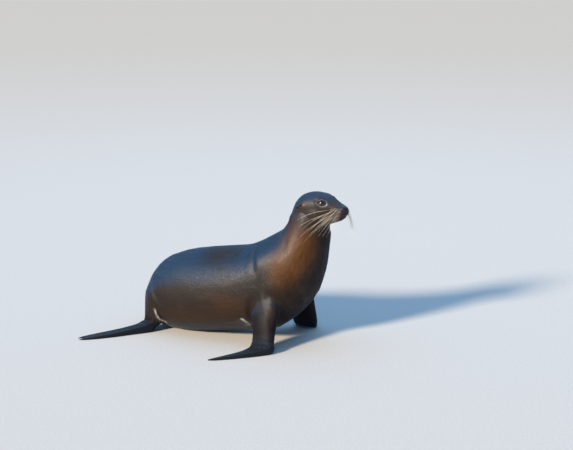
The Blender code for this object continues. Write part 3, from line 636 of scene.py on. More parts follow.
def setLids(head):
    # opens the lids over the eyeball, with a thick rim and a shallow groove round it
    u, w, a = eyeAxes()
    forwards, up, outward, ring = eyePlace(head)
    here = (outward > -0.004) & (ring < 2.6)
    inside, outside = 0.97 - (1 - ring) * 0.6, 1.03 + (ring - 1) * 0.7
    pushed = np.where(ring < 1, np.minimum(ring, inside), np.maximum(ring, outside))
    slide = np.where(here & (np.abs(ring - 1) < 0.16), pushed / np.maximum(ring, 1e-6), 1)
    forwards, up = forwards * slide, up * slide
    radius = face["eyeRadius"]
    across = forwards**2 + up**2
    inside = np.sqrt(np.maximum((radius - 0.005) ** 2 - across, 4e-6))
    lid = np.sqrt(np.maximum((radius + face["lidDepth"]) ** 2 - across, 2.5e-5))
    covered = np.where(across < (radius * 0.88) ** 2, np.maximum(outward, lid), outward)
    outer = mix(np.maximum(lid, outward - 0.003), covered, between(ring, 1.04, 1.45))
    for place, width, high, below, above in face["lidRolls"]:
        outer = outer + high * hump(ring, place, width) * mix(below, above, between(up, -0.004, 0.006))
    height = np.where(pushed < 1, inside, outer)
    opened = np.array(face["eye"]) + forwards[:, None] * u + up[:, None] * w + height[:, None] * a
    opened[:, 1] *= np.where(head[:, 1] < 0, -1, 1)
    return np.where(here[:, None], opened, head)


def mouthLine(x):
    t = np.clip((x - face["mouthCorner"]) / (face["mouthFront"] - face["mouthCorner"]), -0.3, 1.1)
    return face["mouthHeight"] + face["mouthRise"] * (1 - t) ** 2, t


def nostrilPlace(head):
    tilt, half = math.radians(face["nostrilTilt"]), face["nostrilHalf"]
    y, z = np.abs(head[:, 1]) - face["nostril"][0], head[:, 2] - face["nostril"][1]
    along, across = y * math.cos(tilt) + z * math.sin(tilt), z * math.cos(tilt) - y * math.sin(tilt)
    return np.sqrt((along / half[0]) ** 2 + ((across + 9 * along**2) / half[1]) ** 2)


def padRing(head):
    height, wide, high = face["nosePad"]
    return (np.abs(head[:, 1] / wide) ** 2.4 + np.abs((head[:, 2] - height) / high) ** 2.4) ** (1 / 2.4)


whiskers = {
    "rows": 5,
    "columns": 4,
    # how far back they lie, how far out, how much they hang, the top row's share, and the least length
    "left": (-0.30, 1.4, 2.4, 1.0, 0.14),
    "right": (1.10, 1.1, 0.8, 0.6, 0.0),
    "front": 0.194,  # the pad's foremost follicles, from between the ears
    "back": 0.150,
    "top": 0.004,
    "bottom": -0.0245,
    "longest": 0.250,
    "shortest": 0.085,
    "thick": 0.00056,  # radius at the root
    "clearance": 0.004,
    "colour": (0.80, 0.74, 0.63),
}


def follicles():
    # the whiskers' roots on the left pad, in the head's frame: x, z, and shares back and down
    found = []
    for row in range(whiskers["rows"]):
        down = row / (whiskers["rows"] - 1)
        for column in range(whiskers["columns"] - (row == 0)):
            back = (column + 0.5 * (row % 2)) / (whiskers["columns"] - 0.5)
            x = mix(whiskers["front"] - 0.004 * abs(down - 0.5), whiskers["back"], back)
            z = mix(whiskers["top"], whiskers["bottom"], down) - 0.004 * (1 - back) * (1 - down)
            found.append((x, z, back, down))
    return found


def sculptFace(head, normals):
    x, y, z = head.T
    inMouth, front = np.abs(y) < 0.07, between(x, 0.188, 0.198)
    line, t = mouthLine(x)
    here = between(t, -0.14, 0.06) * (x > 0.10) * inMouth
    push = -face["mouthDepth"] * mix(0.5, 1, between(t, 0, 0.6)) * hump(z, line, 0.0013) * here
    for height, width, swelling in face["lips"]:
        push += here * swelling * hump(z, line + height, width)
    # the lips' corner, the groove from the nose down, the pad, its midline and the nostrils
    push -= 0.0016 * hump(np.hypot(x - 0.126, z + 0.031), 0, 0.006) * inMouth
    push -= 0.0016 * hump(y, 0, 0.0013) * between(-z, 0.006, 0.010) * (z > line) * front
    ring, slit = padRing(head), nostrilPlace(head)
    push -= 0.0011 * hump(ring, 1.10, 0.09) * between(x, 0.176, 0.186) * (z > -0.014)
    push += 0.0009 * (1 - between(ring, 0.72, 1.0)) * between(x, 0.184, 0.190)
    push -= 0.0009 * hump(y, 0, 0.0012) * (1 - between(ring, 0.85, 1.0)) * front
    push += 0.0007 * hump(slit, 1.5, 0.35) * front
    push -= face["nostrilDepth"] * (1 - between(slit, 0.45, 1.0)) * front
    for rootX, rootZ, _, _ in follicles():
        push += 0.00065 * hump(np.hypot(x - rootX, z - rootZ), 0, 0.0015) * inMouth
    for width, depth, *route in face["lines"]:
        away, share, _ = routeDistance(onSide(head, 1), route)
        push -= depth * hump(away, 0, width) * np.sin(math.pi * np.clip(share, 0.02, 0.98)) ** 0.5
    # the swelling under each ear's root
    push += 0.0022 * near(onSide(head, 1), (0.016, 0.078, 0.013), (0.016, 0.02, 0.012))
    return head + normals * push[:, None]


def sculptFolds(points, normals):
    side = onSide(points, -1)
    push, creaseShade, foldRimHighlight = (np.zeros(len(points)) for _ in range(3))
    for name, (width, depth, ridge, *route) in folds.items():
        away, share, offset = routeDistance(side, route)
        ends = np.sin(math.pi * np.clip(share, 0, 1)) ** 0.6
        if name in openFolds:
            ends = between(1 - share, 0, 0.4)
        signed = away * np.sign(np.sum(offset * np.array((-0.6, -0.2, -0.75)), 1))
        push -= depth * hump(away, 0, width) * ends
        push += ridge * hump(signed, width * 1.5, width) * ends
        # the middle of each skin groove, which gets painted shade in the coat's colour
        creaseShade = np.maximum(creaseShade, hump(away, 0, width * 0.6) * ends * min(1, depth / 0.004))
        if name in deepFolds:
            # the ridge beside the deep folds, where the whitish painted highlight goes
            foldRimHighlight = np.maximum(foldRimHighlight, hump(signed, width * 1.25, width * 0.38) * between(ends, 0.2, 0.8))
    for height, centre, radii, both in muscles:
        push += height * near(side, centre, radii) * (both | (points[:, 1] > 0))
    wave = np.sin(side[:, 0] * 46 + 1.3 * np.sin(side[:, 2] * 9)) * np.sin(side[:, 2] * 17 + side[:, 0] * 5)
    push += 0.0009 * wave * near(side, (-0.32, -0.19, 0.21), (0.30, 0.16, 0.22))
    return points + normals * push[:, None], creaseShade, foldRimHighlight


coat = {
    "depth": 0.0013,  # how far the skin lies inside the flesh's solids
    "tuftLength": 0.0140,
    "tuftWidth": 0.0018,
    "tuftLift": 3.5,  # degrees
    "tuftShine": 0.30,  # how far a tuft's own faces, and not the skin's, set its gloss
    "tuftsPerSquareMetre": 70000,
    "facesKept": 0.152,  # share of the fused flesh's faces
}

# where the thinned mesh is evened out, on both sides: centre, radius and times
evened = (
    ((0.125, 0, 0.605), 0.12, 8),
    ((-0.10, 0, 0.46), 0.12, 8),
    ((0.0, 0.15, 0.20), 0.15, 8),
    ((-0.02, 0.13, 0.40), 0.12, 12),
    ((-0.62, 0.12, 0.14), 0.14, 7),
)


def modified(piece, name, kind, **settings):
    modifier = piece.modifiers.new(name, kind)
    for label, value in settings.items():
        setattr(modifier, label, value)
    return plainMesh(piece)


def nearFold(points, name, spread):
    width, _, _, *route = folds[name]
    return 1 - between(routeDistance(onSide(points, -1), route)[0], width * spread[0], width * spread[1])


def fuseFlesh():
    allPoints, allFaces, start = [], [], 0
    for points, faces in fleshShells():
        allPoints.append(points)
        allFaces += [[i + start for i in face] for face in faces]
        start += len(points)
    skin = addPiece("skin", meshOf("skin", np.vstack(allPoints), allFaces))
    mesh = modified(skin, "fuse", "REMESH", mode="VOXEL", voxel_size=body["voxel"])
    points = pointsOf(mesh)
    head, blade = headFrame(points), onBlade(points)
    fine = np.maximum(blade, (head[:, 0] > 0.12) * (head[:, 2] > -0.13) * 0.8)
    setPoints(mesh, relax(mesh, points, 0.5 * (1 - 0.85 * fine), 26))
    print("flesh fused:", len(mesh.vertices), "points")
    return skin, blade


def thinOut(skin, blade):
    # fewer faces where the form is plain
    points = pointsOf(skin.data)
    fromFace = np.linalg.norm((headFrame(points) - np.array((0.10, 0, -0.01))) / (1, 1, 0.8), axis=1)
    fromTail = np.linalg.norm(points - np.array(body["tail"][1]), axis=1)
    onFold = np.maximum.reduce([nearFold(points, name, (2, 4)) for name in folds])
    onHead, onTail = 1 - between(fromFace, 0.10, 0.14), 1 - between(fromTail, 0.07, 0.10)
    plain = 1 - np.maximum.reduce([onHead * 0.97, 0.72 * blade, 0.58 * onFold, 0.9 * onTail])
    group, steps = skin.vertex_groups.new(name="plain"), np.round(plain * 8).astype(int)
    for step in range(1, 9):
        group.add(np.flatnonzero(steps == step).tolist(), step / 8, "REPLACE")
    mesh = modified(skin, "thin", "DECIMATE", ratio=coat["facesKept"], vertex_group="plain")
    skin.vertex_groups.clear()
    editMesh(mesh, keepLargest)
    print("skin thinned out:", len(mesh.vertices), "points")
    return mesh


def refine(mesh, level):
    # finer faces where the face and the deep folds need them
    points = pointsOf(mesh)
    head = headFrame(points)
    x, z = head[:, 0], head[:, 2]
    _, _, outward, ring = eyePlace(head)
    line, t = mouthLine(x)
    chosen = (ring < (2.1, 1.35)[level]) & (outward > -0.004) & (x > 0)
    chosen |= (t > -0.2) & (np.abs(z - line) < (0.02, 0.0045)[level])
    chosen |= (x > (0.146, 0.185)[level]) & (z > -0.06) & ((level == 0) | (padRing(head) < 1.3))
    chosen |= (x > 0.146) & (x < 0.2) & (np.abs(z + 0.010) < 0.018) & (level == 0)
    chosen &= z > -0.12
    for name in deepFolds:
        width, _, _, *route = folds[name]
        chosen |= (routeDistance(onSide(points, -1), route)[0] < width * 2.6) & (level == 0)
    editMesh(mesh, subdivideWhere, chosen)
    setPoints(mesh, relax(mesh, pointsOf(mesh), 0.35 * (headFrame(pointsOf(mesh))[:, 0] > 0.04), 3))


def buildSkin():
    skin, blade = fuseFlesh()
    mesh = thinOut(skin, blade)
    points = pointsOf(mesh)
    blade = onBlade(points)
    for centre, radius, times in evened:
        weight = 0.5 * near(onSide(points, 1), centre, (radius,) * 3) * (1 - blade)
        points = relax(mesh, points, weight, times)
    setPoints(mesh, points)
    refine(mesh, 0)
    refine(mesh, 1)
    normals = normalsOf(mesh)
    points, creaseShade, foldRimHighlight = sculptFolds(pointsOf(mesh), normals)
    head = headFrame(points)
    x, y, z = head.T
    onFace = (x > -0.01) & (np.abs(y) < 0.1) & (z > -0.11) & (z < 0.12)
    sculpted = setLids(sculptFace(head, normals @ np.array(headPlace)[:3, :3]))
    head = np.where(onFace[:, None], sculpted, head)
    points = placed(head, headPlace)
    inset = coat["depth"] * (1 - onBlade(points)) * (1 - between(head[:, 0], 0.10, 0.15))
    points = points - normals * inset[:, None]
    points[:, 2] = np.maximum(points[:, 2], 0)
    setPoints(mesh, points)
    store(mesh, "creaseShade", creaseShade)
    store(mesh, "foldRimHighlight", foldRimHighlight)
    triangles = sum(len(p.vertices) - 2 for p in mesh.polygons)
    print("skin sculpted:", len(mesh.vertices), "points,", triangles, "triangles")
    return skin


# brown patches of the chest, belly and arm, on the right side: strength, exponent, centre, radii
chestPatches = (
    (0.85, 0.7, (0.135, -0.120, 0.480), (0.14, 0.16, 0.20)),
    (1.00, 1.0, (0.085, -0.170, 0.395), (0.14, 0.16, 0.17)),
    (0.35, 1.0, (-0.20, -0.20, 0.215), (0.22, 0.10, 0.09)),
    (0.45, 1.0, (0.035, -0.215, 0.150), (0.06, 0.08, 0.16)),
)
# places where the back's painted blue sky reflection, and its wet gloss, are weaker: strength, centre,
# radii
dimmerSheenPatches = (
    (0.65, (-0.28, -0.08, 0.42), (0.24, 0.22, 0.16)),
    (0.80, (0.045, -0.05, 0.600), (0.09, 0.16, 0.11)),
)


def paintMasks(skin):
    # where each colour and finish of the animal goes, painted reflection, highlight and shade among them,
    # for the skin and for the coat that grows on it
    mesh = skin.data
    points, normals = pointsOf(mesh), normalsOf(mesh)
    head, side, leftHead = headFrame(points), onSide(points, -1), onSide(headFrame(points), 1)
    flow, grain, unwrap, onLimb = lieOfCoat(points, normals)
    x, y, z = head.T
    inMouth = np.abs(y) < 0.07
    isHead = (x > -0.07) & (z > -0.12) & (np.abs(y) < 0.1)
    aboveThroat = between(z, -0.12, -0.055)
    forwards, up, outward, ring = eyePlace(head)
    atEye = (outward > -0.002) & isHead & (x > 0.02)
    line, t = mouthLine(x)
    bare = 0
    for limb, start, end, back in ((foreLimb, 3.1, 4.4, 9), (hindLimb, 2.9, 3.8, -0.5)):
        place, out, _, _ = limbPlace(points, limb)
        here = between(place, start, end) * (1 - between(out, 1.3, 1.7))
        bare = np.maximum(bare, here * (points[:, 0] < back))
    # rings of paler fur round the eyes, strongest below and in front, which also carry a painted glint of
    # the wet lids; and paler spots round the whiskers' roots
    paleFurAndGlint = hump(ring, 1.20, 0.13) * mix(1.0, 0.35, between(up, -0.002, 0.008))
    paleFurAndGlint = 1.2 * atEye * paleFurAndGlint * mix(0.2, 1.1, between(forwards, -0.016, 0.014))
    for rootX, rootZ, _, _ in follicles():
        spot = 0.55 * hump(np.hypot(x - rootX, z - rootZ), 0, 0.0024)
        paleFurAndGlint = np.maximum(paleFurAndGlint, spot * isHead * inMouth)
    chest = np.zeros(len(points))
    for strength, exponent, centre, radii in chestPatches:
        chest = np.maximum(chest, strength * near(side, centre, radii) ** exponent)
    # what faces up or back gets the painted blue reflection of the sky (the 'back' colour) as well as the
    # wet gloss
    rearward = np.clip(-normals[:, 0], 0, 1) * between(points[:, 2], 0.07, 0.22)
    top = between(normals[:, 2] + 0.5 * rearward, 0.05, 0.80) * (1 - bare)
    for strength, centre, radii in dimmerSheenPatches:
        top *= 1 - strength * near(side, centre, radii)
    slit = (1 - between(nostrilPlace(head), 0.6, 1.1)) * between(x, 0.188, 0.194)
    gape = hump(z, line, 0.0014) * between(t, -0.02, 0.05) * isHead * inMouth
    pad = (1 - between(padRing(head), 0.98, 1.10)) * between(x, 0.182, 0.188) * isHead
    lips = hump(z, line, 0.0042) * between(t, -0.08, 0.05) * isHead * inMouth * (x > 0.1)
    # bare places have no tufts, and the face, feet and tail have small ones
    toTail = np.linalg.norm(points - np.array(body["tail"][1]), axis=1)
    foldRimHighlight = readAll(mesh.attributes["foldRimHighlight"].data, "value", 1, np.float32)[:, 0]
    clear = [
        between(bare, 0.25, 0.75),
        pad,
        lips * 1.3,
        atEye * (1 - between(ring, 1.48, 1.80)),
        1.0 * (near(leftHead, (0.006, 0.08, 0.010), (0.020, 0.03, 0.012)) > 0.25),
        between(x, 0.194, 0.199) * isHead,
        1 - between(points[:, 2], 0.010, 0.024),
        1 - between(toTail, 0.004, 0.012),
        np.minimum(1, foldRimHighlight * 3),
    ]
    size = mix(1.0, 0.62, isHead * between(x, -0.07, 0.0)) * mix(1.0, 0.60, between(x, 0.0, 0.11) * isHead)
    size *= mix(1.0, 0.6, between(bare, 0, 0.5)) * mix(1, 0.70, between(-points[:, 0], 0.64, 0.70))
    size *= mix(0.55, 1, between(toTail, 0.05, 0.08)) * mix(1, 0.75, onLimb)
    masks = {
        "flow": flow,
        "skinNormal": normals,
        "grain": grain * (0.12, 1, 1),
        "unwrap": unwrap,
        "bare": bare,
        "pad": pad,
        "lips": lips,
        "rim": atEye * hump(ring, 1.02, 0.16),
        "paleFurAndGlint": paleFurAndGlint,
        "tan": 0.55 * near(leftHead, (0.020, 0.078, 0.012), (0.016, 0.03, 0.009)) * isHead,
        "chest": chest,
        "limb": onLimb * (1 - bare),
        "top": top,
        "under": between(-normals[:, 2], -0.05, 0.6) * (1 - isHead * aboveThroat),
        "face": isHead * between(x, -0.05, 0.03) * aboveThroat,
        "muzzle": between(x, 0.115, 0.150) * isHead,
        # painted shade in the nostrils' slits and the mouth's gap
        "hollow": np.maximum(slit, gape * 0.9),
        "tuftSize": size,
        "tuftShare": 1 - np.clip(np.maximum.reduce(clear), 0, 1),
    }
    for name, values in masks.items():
        store(mesh, name, values)
    print("markings stored")


# node trees
class Socket:
    # a node's socket that Python's operators work on
    def __init__(self, tree, socket):
        self.tree, self.socket = tree, socket

    def maths(self, operation, *values):
        return self.tree.add("ShaderNodeMath", {"operation": operation}, *values)

    def __add__(self, other):
        return self.maths("ADD", self, other)

    def __sub__(self, other):
        return self.maths("SUBTRACT", self, other)

    def __rsub__(self, other):
        return self.maths("SUBTRACT", other, self)

    def __mul__(self, other):
        return self.maths("MULTIPLY", self, other)

    def __rtruediv__(self, other):
        return self.maths("DIVIDE", other, self)

    __radd__ = __add__
    __rmul__ = __mul__

    def vector(self, operation, *values, **named):
        return self.tree.add("ShaderNodeVectorMath", {"operation": operation}, self, *values, **named)

    def clamped(self):
        return self.tree.add("ShaderNodeClamp", {}, self)

    def step(self, low, high):
        settings = {"interpolation_type": "SMOOTHSTEP"}
        return self.tree.add("ShaderNodeMapRange", settings, self, low, high, 0.0, 1.0)

    def output(self, name):
        return Socket(self.tree, self.socket.node.outputs[name])


class Tree:
    # a node tree under construction
    def add(self, kind, settings, *values, output=0, **named):
        node = self.nodes.new(kind)
        for label, value in settings.items():
            setattr(node, label, value)
        for label, value in [*enumerate(values), *((k.replace("_", " "), v) for k, v in named.items())]:
            if isinstance(value, Socket):
                self.links.new(value.socket, node.inputs[label])
            elif value is not None:
                node.inputs[label].default_value = value
        return Socket(self, node.outputs[output])


class Finish(Tree):
    # a material: a Principled BSDF and what feeds it
    def __init__(self, name, **constants):
        self.material = bpy.data.materials.new(name)
        self.material.use_nodes = True
        self.nodes, self.links = self.material.node_tree.nodes, self.material.node_tree.links
        self.shader = self.nodes["Principled BSDF"]
        for label, value in constants.items():
            self.shader.inputs[label.replace("_", " ")].default_value = value

    def mask(self, name, output="Fac"):
        return self.add("ShaderNodeAttribute", {"attribute_name": name}, output=output)

    def objectPlace(self):
        return self.add("ShaderNodeTexCoord", {}, output="Object")

    def noise(self, place, scale, detail=3.0, roughness=0.55):
        settings = {"Scale": scale, "Detail": detail, "Roughness": roughness}
        return self.add("ShaderNodeTexNoise", {}, Vector=place, **settings)

    def blend(self, share, a, b, kind="MIX"):
        # a and b are colours; the share is a number or a socket
        a, b = (value if isinstance(value, Socket) else (*value, 1) for value in (a, b))
        settings = {"data_type": "RGBA", "blend_type": kind, "clamp_factor": True}
        return self.add("ShaderNodeMix", settings, share, *[None] * 5, a, b, output=2)

    def bump(self, height, strength, distance, under=None):
        settings = {"Strength": strength, "Distance": distance, "Height": height, "Normal": under}
        return self.add("ShaderNodeBump", {}, **settings)

    def feed(self, **links):
        for label, value in links.items():
            self.links.new(value.socket, self.shader.inputs[label.replace("_", " ")])
        return self.material


coatColours = {
    "flank": (0.0160, 0.0088, 0.0024),
    # painted reflection: the blue of the sky on the wet back, standing in for light
    "back": (0.0070, 0.0210, 0.0520),
    "under": (0.0235, 0.0104, 0.0012),
    "chest": (0.074, 0.0280, 0.0025),
    "face": (0.0260, 0.0150, 0.0095),
    "muzzle": (0.028, 0.0165, 0.0120),
    "limb": (0.0060, 0.0020, 0.0008),
    # painted highlight on the wet ridge beside the armpit and flank folds
    "foldRimHighlight": (0.40, 0.38, 0.36),
    "tan": (0.30, 0.15, 0.08),
    "bare": (0.0070, 0.0066, 0.0078),
    # paler fur, and round the eyes also a painted glint of the wet lids
    "paleFurAndGlint": (0.33, 0.31, 0.29),
    "lips": (0.075, 0.020, 0.014),
    "rim": (0.012, 0.008, 0.007),
    "pad": (0.008, 0.007, 0.008),
    # painted shade in the nostrils, the mouth's gap and the ears' hollows
    "hollow": (0.003, 0.002, 0.002),
}

coatLook = {
    # what the wet coat throws back is tinted by the sky
    "shader": {
        "Specular_IOR_Level": 0.22,
        "Specular_Tint": (0.36, 0.62, 1.0, 1),
        "Coat_Roughness": 0.40,
        "Coat_IOR": 1.5,
        "Sheen_Weight": 0.12,
        "Sheen_Roughness": 0.45,
        "Sheen_Tint": (0.34, 0.62, 1.0, 1),
    },
    # scale, detail and roughness of each noise
    "broad": (7.0, 3.0, 0.55),
    "strands": (720.0, 3.0, 0.6),
    "clumps": (120.0, 2.0, 0.5),
    "wrinkles": (60.0, 4.0, 0.6),
    "leather": 520.0,
    # what each marking adds to the roughness and to the wet layer
    "rougher": {"rim": -0.28, "pad": -0.16, "paleFurAndGlint": -0.12, "bare": 0.04, "foldRimHighlight": -0.22, "limb": 0.2},
    "wetter": {"foldRimHighlight": 0.6, "rim": 0.5, "pad": 0.12, "bare": -0.15},
}


def coatFinish(name, hair):
    # one wet brown coat for skin and tufts, so that they carry the same markings and the same painted light
    # and shade
    finish = Finish(name, **coatLook["shader"])
    painted = [key for key in coatColours if key not in ("flank", "back")]
    mask = {key: finish.mask(key) for key in (*painted, "top", "creaseShade")}
    grain = finish.mask("grain", "Vector")
    broad = finish.noise(finish.objectPlace(), *coatLook["broad"])
    strands, clumps = (finish.noise(grain, *coatLook[key]) for key in ("strands", "clumps"))
    shares = {
        # the painted sky reflection lies on what faces up and back
        "back": (mask["top"] + broad * 0.5 - 0.25).step(0.15, 0.85),
        "under": (mask["under"] + broad * 0.4 - 0.2).step(0.0, 0.9),
        "chest": (mask["chest"] + clumps * 0.24 - 0.12).step(0.0, 1.0),
        "face": mask["face"] * (1 - mask["top"] * 0.8),
        "muzzle": mask["muzzle"] * 0.8,
        "limb": mask["limb"] * 0.85,
        "foldRimHighlight": mask["foldRimHighlight"] * 0.85,
        "tan": mask["tan"],
        "bare": mask["bare"].step(0.25, 0.85),
        "paleFurAndGlint": mask["paleFurAndGlint"] * (0.45 + strands * 0.9),
        "lips": mask["lips"] * 0.85,
        "rim": mask["rim"].step(0.25, 0.8),
        "pad": mask["pad"],
        "hollow": mask["hollow"],
    }
    colour = coatColours["flank"]
    for key, share in shares.items():
        colour = finish.blend(share, colour, coatColours[key])
    shade = strands * 0.7 + clumps * 0.5 + broad * 0.35 + (0.32 if hair else 0.22)
    # painted shade along the creases
    shade = shade * (1 - mask["creaseShade"] * 0.45)
    grey = finish.add("ShaderNodeCombineColor", {}, shade, shade, shade)
    colour = finish.blend(1.0, colour, grey, "MULTIPLY")
    rough = 0.46 + strands * 0.14 + broad * 0.08
    for key, more in coatLook["rougher"].items():
        rough = rough + mask[key] * more
    wet = 0.02 + clumps * 0.06 + mask["top"] * (1 - mask["limb"]) * 0.6
    for key, more in coatLook["wetter"].items():
        wet = wet + mask[key] * more
    bald = (mask["bare"].step(0.2, 0.8) + mask["pad"] + mask["rim"]).clamped()
    height = (strands * 0.5 + clumps * 0.5) * (1 - bald * 0.92)
    normal = finish.bump(height, 0.3 if hair else 0.8, 0.0011)
    if not hair:
        pores = {"Vector": finish.objectPlace(), "Scale": coatLook["leather"]}
        leather = finish.add("ShaderNodeTexVoronoi", {}, output="Distance", **pores)
        wrinkles = finish.noise(grain, *coatLook["wrinkles"])
        normal = finish.bump((leather * 0.5 + wrinkles * 1.2) * bald, 0.5, 0.0009, normal)
    return finish.feed(Base_Color=colour, Roughness=rough, Coat_Weight=wet.clamped(), Normal=normal)


# the eye's colours from its middle out, in shares of a quarter turn: pupil, iris, dark edge, white
eyeColours = (
    (0.0, (0.001, 0.001, 0.001)),
    (0.30, (0.001, 0.001, 0.001)),
    (0.36, (0.014, 0.005, 0.003)),
    (0.54, (0.034, 0.011, 0.005)),
    (0.64, (0.006, 0.003, 0.002)),
    (0.80, (0.050, 0.028, 0.022)),
)


def eyeFinish():
    finish = Finish("eye", IOR=1.38, Coat_Weight=1.0, Coat_Roughness=0.02, Specular_IOR_Level=0.6)
    streaks = finish.noise(finish.mask("iris", "Vector"), 26.0)
    place = finish.mask("angle") + (streaks - 0.5) * 0.05
    colour = finish.add("ShaderNodeValToRGB", {}, place, output="Color")
    stops = colour.socket.node.color_ramp.elements
    while len(stops) < len(eyeColours):
        stops.new(0.5)
    for stop, (place, shade) in zip(stops, eyeColours):
        stop.position, stop.color = place, (*shade, 1)
    return finish.feed(Base_Color=colour, Roughness=0.05 + streaks * 0.05)


def lidFinish():
    finish = Finish("lid edge", Specular_IOR_Level=0.5, Coat_Weight=0.5, Coat_Roughness=0.08)
    wrinkles = finish.noise(finish.objectPlace(), 900.0)
    colour = finish.blend(wrinkles.step(0.3, 0.7), (0.006, 0.004, 0.0035), (0.028, 0.015, 0.012))
    relief = finish.bump(wrinkles, 0.4, 0.0002)
    return finish.feed(Base_Color=colour, Roughness=0.22 + wrinkles * 0.2, Normal=relief)


def nailFinish():
    finish = Finish("nail", Specular_IOR_Level=0.5)
    lines = finish.noise(finish.objectPlace(), 420.0, 2.0)
    colour = finish.blend(lines.step(0.3, 0.8), (0.030, 0.024, 0.021), (0.095, 0.078, 0.064))
    relief = finish.bump(lines, 0.3, 0.0004)
    return finish.feed(Base_Color=colour, Roughness=0.28 + lines * 0.15, Normal=relief)


def whiskerFinish():
    finish = Finish("whisker", Specular_IOR_Level=0.6, Coat_Weight=0.3, Coat_Roughness=0.15)
    mottled = finish.noise(finish.objectPlace(), 60.0, 2.0)
    colour = finish.blend(finish.mask("along").step(0.0, 0.4), (0.10, 0.065, 0.045), whiskers["colour"])
    colour = finish.blend(mottled.step(0.45, 0.9) * 0.5, colour, (0.45, 0.36, 0.26))
    return finish.feed(Base_Color=colour, Roughness=0.30 + mottled * 0.15)


# eyes, ears and nails; their shapes are the left ones, and a side of -1 mirrors them
def headPiece(name, shell, side):
    shell = moved(mirrored(shell) if side < 0 else shell, forward @ headPlace)
    piece = addPiece(name, meshOf(name, *shell))
    piece.data.shade_smooth()
    editMesh(piece.data, turnOutward)
    return piece


def buildEye(word, side):
    # a ball that bulges at its cornea
    u, w, a = eyeAxes()
    centre, polar = np.array(face["eye"]), np.linspace(0.02, math.pi - 0.02, 40)
    radius = face["eyeRadius"] + 0.0010 * np.clip(1 - (polar / 0.75) ** 2, 0, 1)
    middle = centre + (radius * np.cos(polar))[:, None] * a
    points, faces = sweep(middle, u, radius * np.sin(polar), w, radius * np.sin(polar), 64)
    local = (points - centre) @ np.stack([u, w, a], 1)
    eye = headPiece(f"eyeball_{word}", (points, [f[::-1] for f in faces]), side)
    angle = np.arccos(np.clip(unit(local)[:, 2], -1, 1)) / (math.pi / 2)
    store(eye.data, "angle", angle)
    store(eye.data, "iris", np.hstack([unit(local[:, :2]), angle[:, None] * 0.3]))
    finishPiece(eye, eyeFinish(), "eye", f"eye_{word}")


def buildLidEdge(word, side):
    # the dark wet edge of the lids, lying on the eyeball
    u, w, a = eyeAxes()
    around, sides = 96, 10
    c, s = (power(k, 2 / face["eyeSquareness"]) for k in circle(around))
    forwards, up = face["eyeWide"] * c, np.where(s > 0, face["eyeUpper"], face["eyeLower"]) * s
    height = np.sqrt((face["eyeRadius"] + 0.0009) ** 2 - forwards**2 - up**2)
    out = forwards[:, None] * u + up[:, None] * w + height[:, None] * a
    onward = unit(np.roll(out, -1, 0) - np.roll(out, 1, 0))
    aside = unit(np.cross(onward, unit(out)))
    c, s = (k[None, :, None] for k in circle(sides))
    ring = c * aside[:, None] + s * np.cross(aside, onward)[:, None]
    points = ((out + np.array(face["eye"]))[:, None] + face["lidEdge"] * ring).reshape(-1, 3)
    i, j = np.divmod(np.arange(around * sides), sides)
    m, n = (i + 1) % around * sides, (j + 1) % sides
    faces = np.stack([i * sides + j, i * sides + n, m + n, m + j], 1).tolist()
    finishPiece(headPiece(f"lid_edge_{word}", (points, faces), side), lidFinish(), "eye")


ears = {
    "root": (0.0165, 0.0745, 0.0135),
    "tip": (-0.0180, 0.0850, -0.0035),
    "facing": (0.35, 1.0, -0.25),
    "radius": 0.0074,
    "wall": 0.0013,
    "thick": 0.8,  # the leaf's section against a round one, outward and across
    "wide": 1.12,
    "arch": 0.0035,
    "open": (40, 12),  # half the gap of the rolled leaf at its root and tip, in degrees
}


def buildEar(word, side):
    # a small rolled leaf: a C-shaped section that closes towards the tip
    root, tip, facing = (np.array(ears[key]) for key in ("root", "tip", "facing"))
    along = unit(tip - root)
    facing = unit(facing - along * (along @ facing))
    aside = np.cross(along, facing)

    def section(t):
        arch = facing * (ears["arch"] * np.sin(math.pi * t) + 0.001)[:, None]
        return root + (tip - root) * t[:, None] + arch, ears["radius"] * (0.72 + 0.95 * t - 1.52 * t**2.6)

    shares, loops = np.linspace(0, 1, 22), []
    for t, middle, r in zip(shares, *section(shares)):
        r = max(r, 0.0009)
        inner = r - min(ears["wall"] * (1.2 - 0.5 * t), r * 0.55)
        gap = math.radians(mix(*ears["open"], t))
        arc = np.linspace(gap, 2 * math.pi - gap, 19)
        ring = np.stack([np.cos(arc), np.sin(arc)], 1)
        ring = np.vstack([ring * r, ring[::-1] * inner])
        middle = middle - np.array((0, 0, 0.003)) * t**2
        loops.append(middle + ring[:, :1] * facing * ears["thick"] + ring[:, 1:] * aside * ears["wide"])
    ear = headPiece(f"ear_leaf_{word}", tube(loops), side)
    local = onSide(headFrame(pointsOf(ear.data) - np.array((body["middle"], 0, 0))), 1)
    t = np.clip((local - root) @ along / np.linalg.norm(tip - root), 0, 1)
    middle, r = section(t)
    away = local - middle
    reach = np.hypot(away @ facing / ears["thick"], away @ aside / ears["wide"]) / np.maximum(r, 0.001)
    inside = 1 - between(reach, 0.80, 0.97)
    tan = 0.6 * (1 - between(t, 0.30, 0.85)) * (1 - inside) * between(away @ aside * -side, -0.004, 0.004)
    # painted shade inside the rolled leaf
    store(ear.data, "hollow", inside * (1 - between(t, 0.55, 0.95)) * 0.9)
    store(ear.data, "tan", tan)
    store(ear.data, "grain", local * 0.6)
    store(ear.data, "face", np.full(len(t), 0.6))
    # the ears take a little of the painted sky reflection and of the wet gloss
    store(ear.data, "top", np.full(len(t), 0.3))
    finishPiece(ear, coatMaterial, "coat", f"ear_{word}")


nails = {"place": 6.9, "length": 0.017, "width": 0.0032, "arch": 0.0035, "ridge": 0.25}


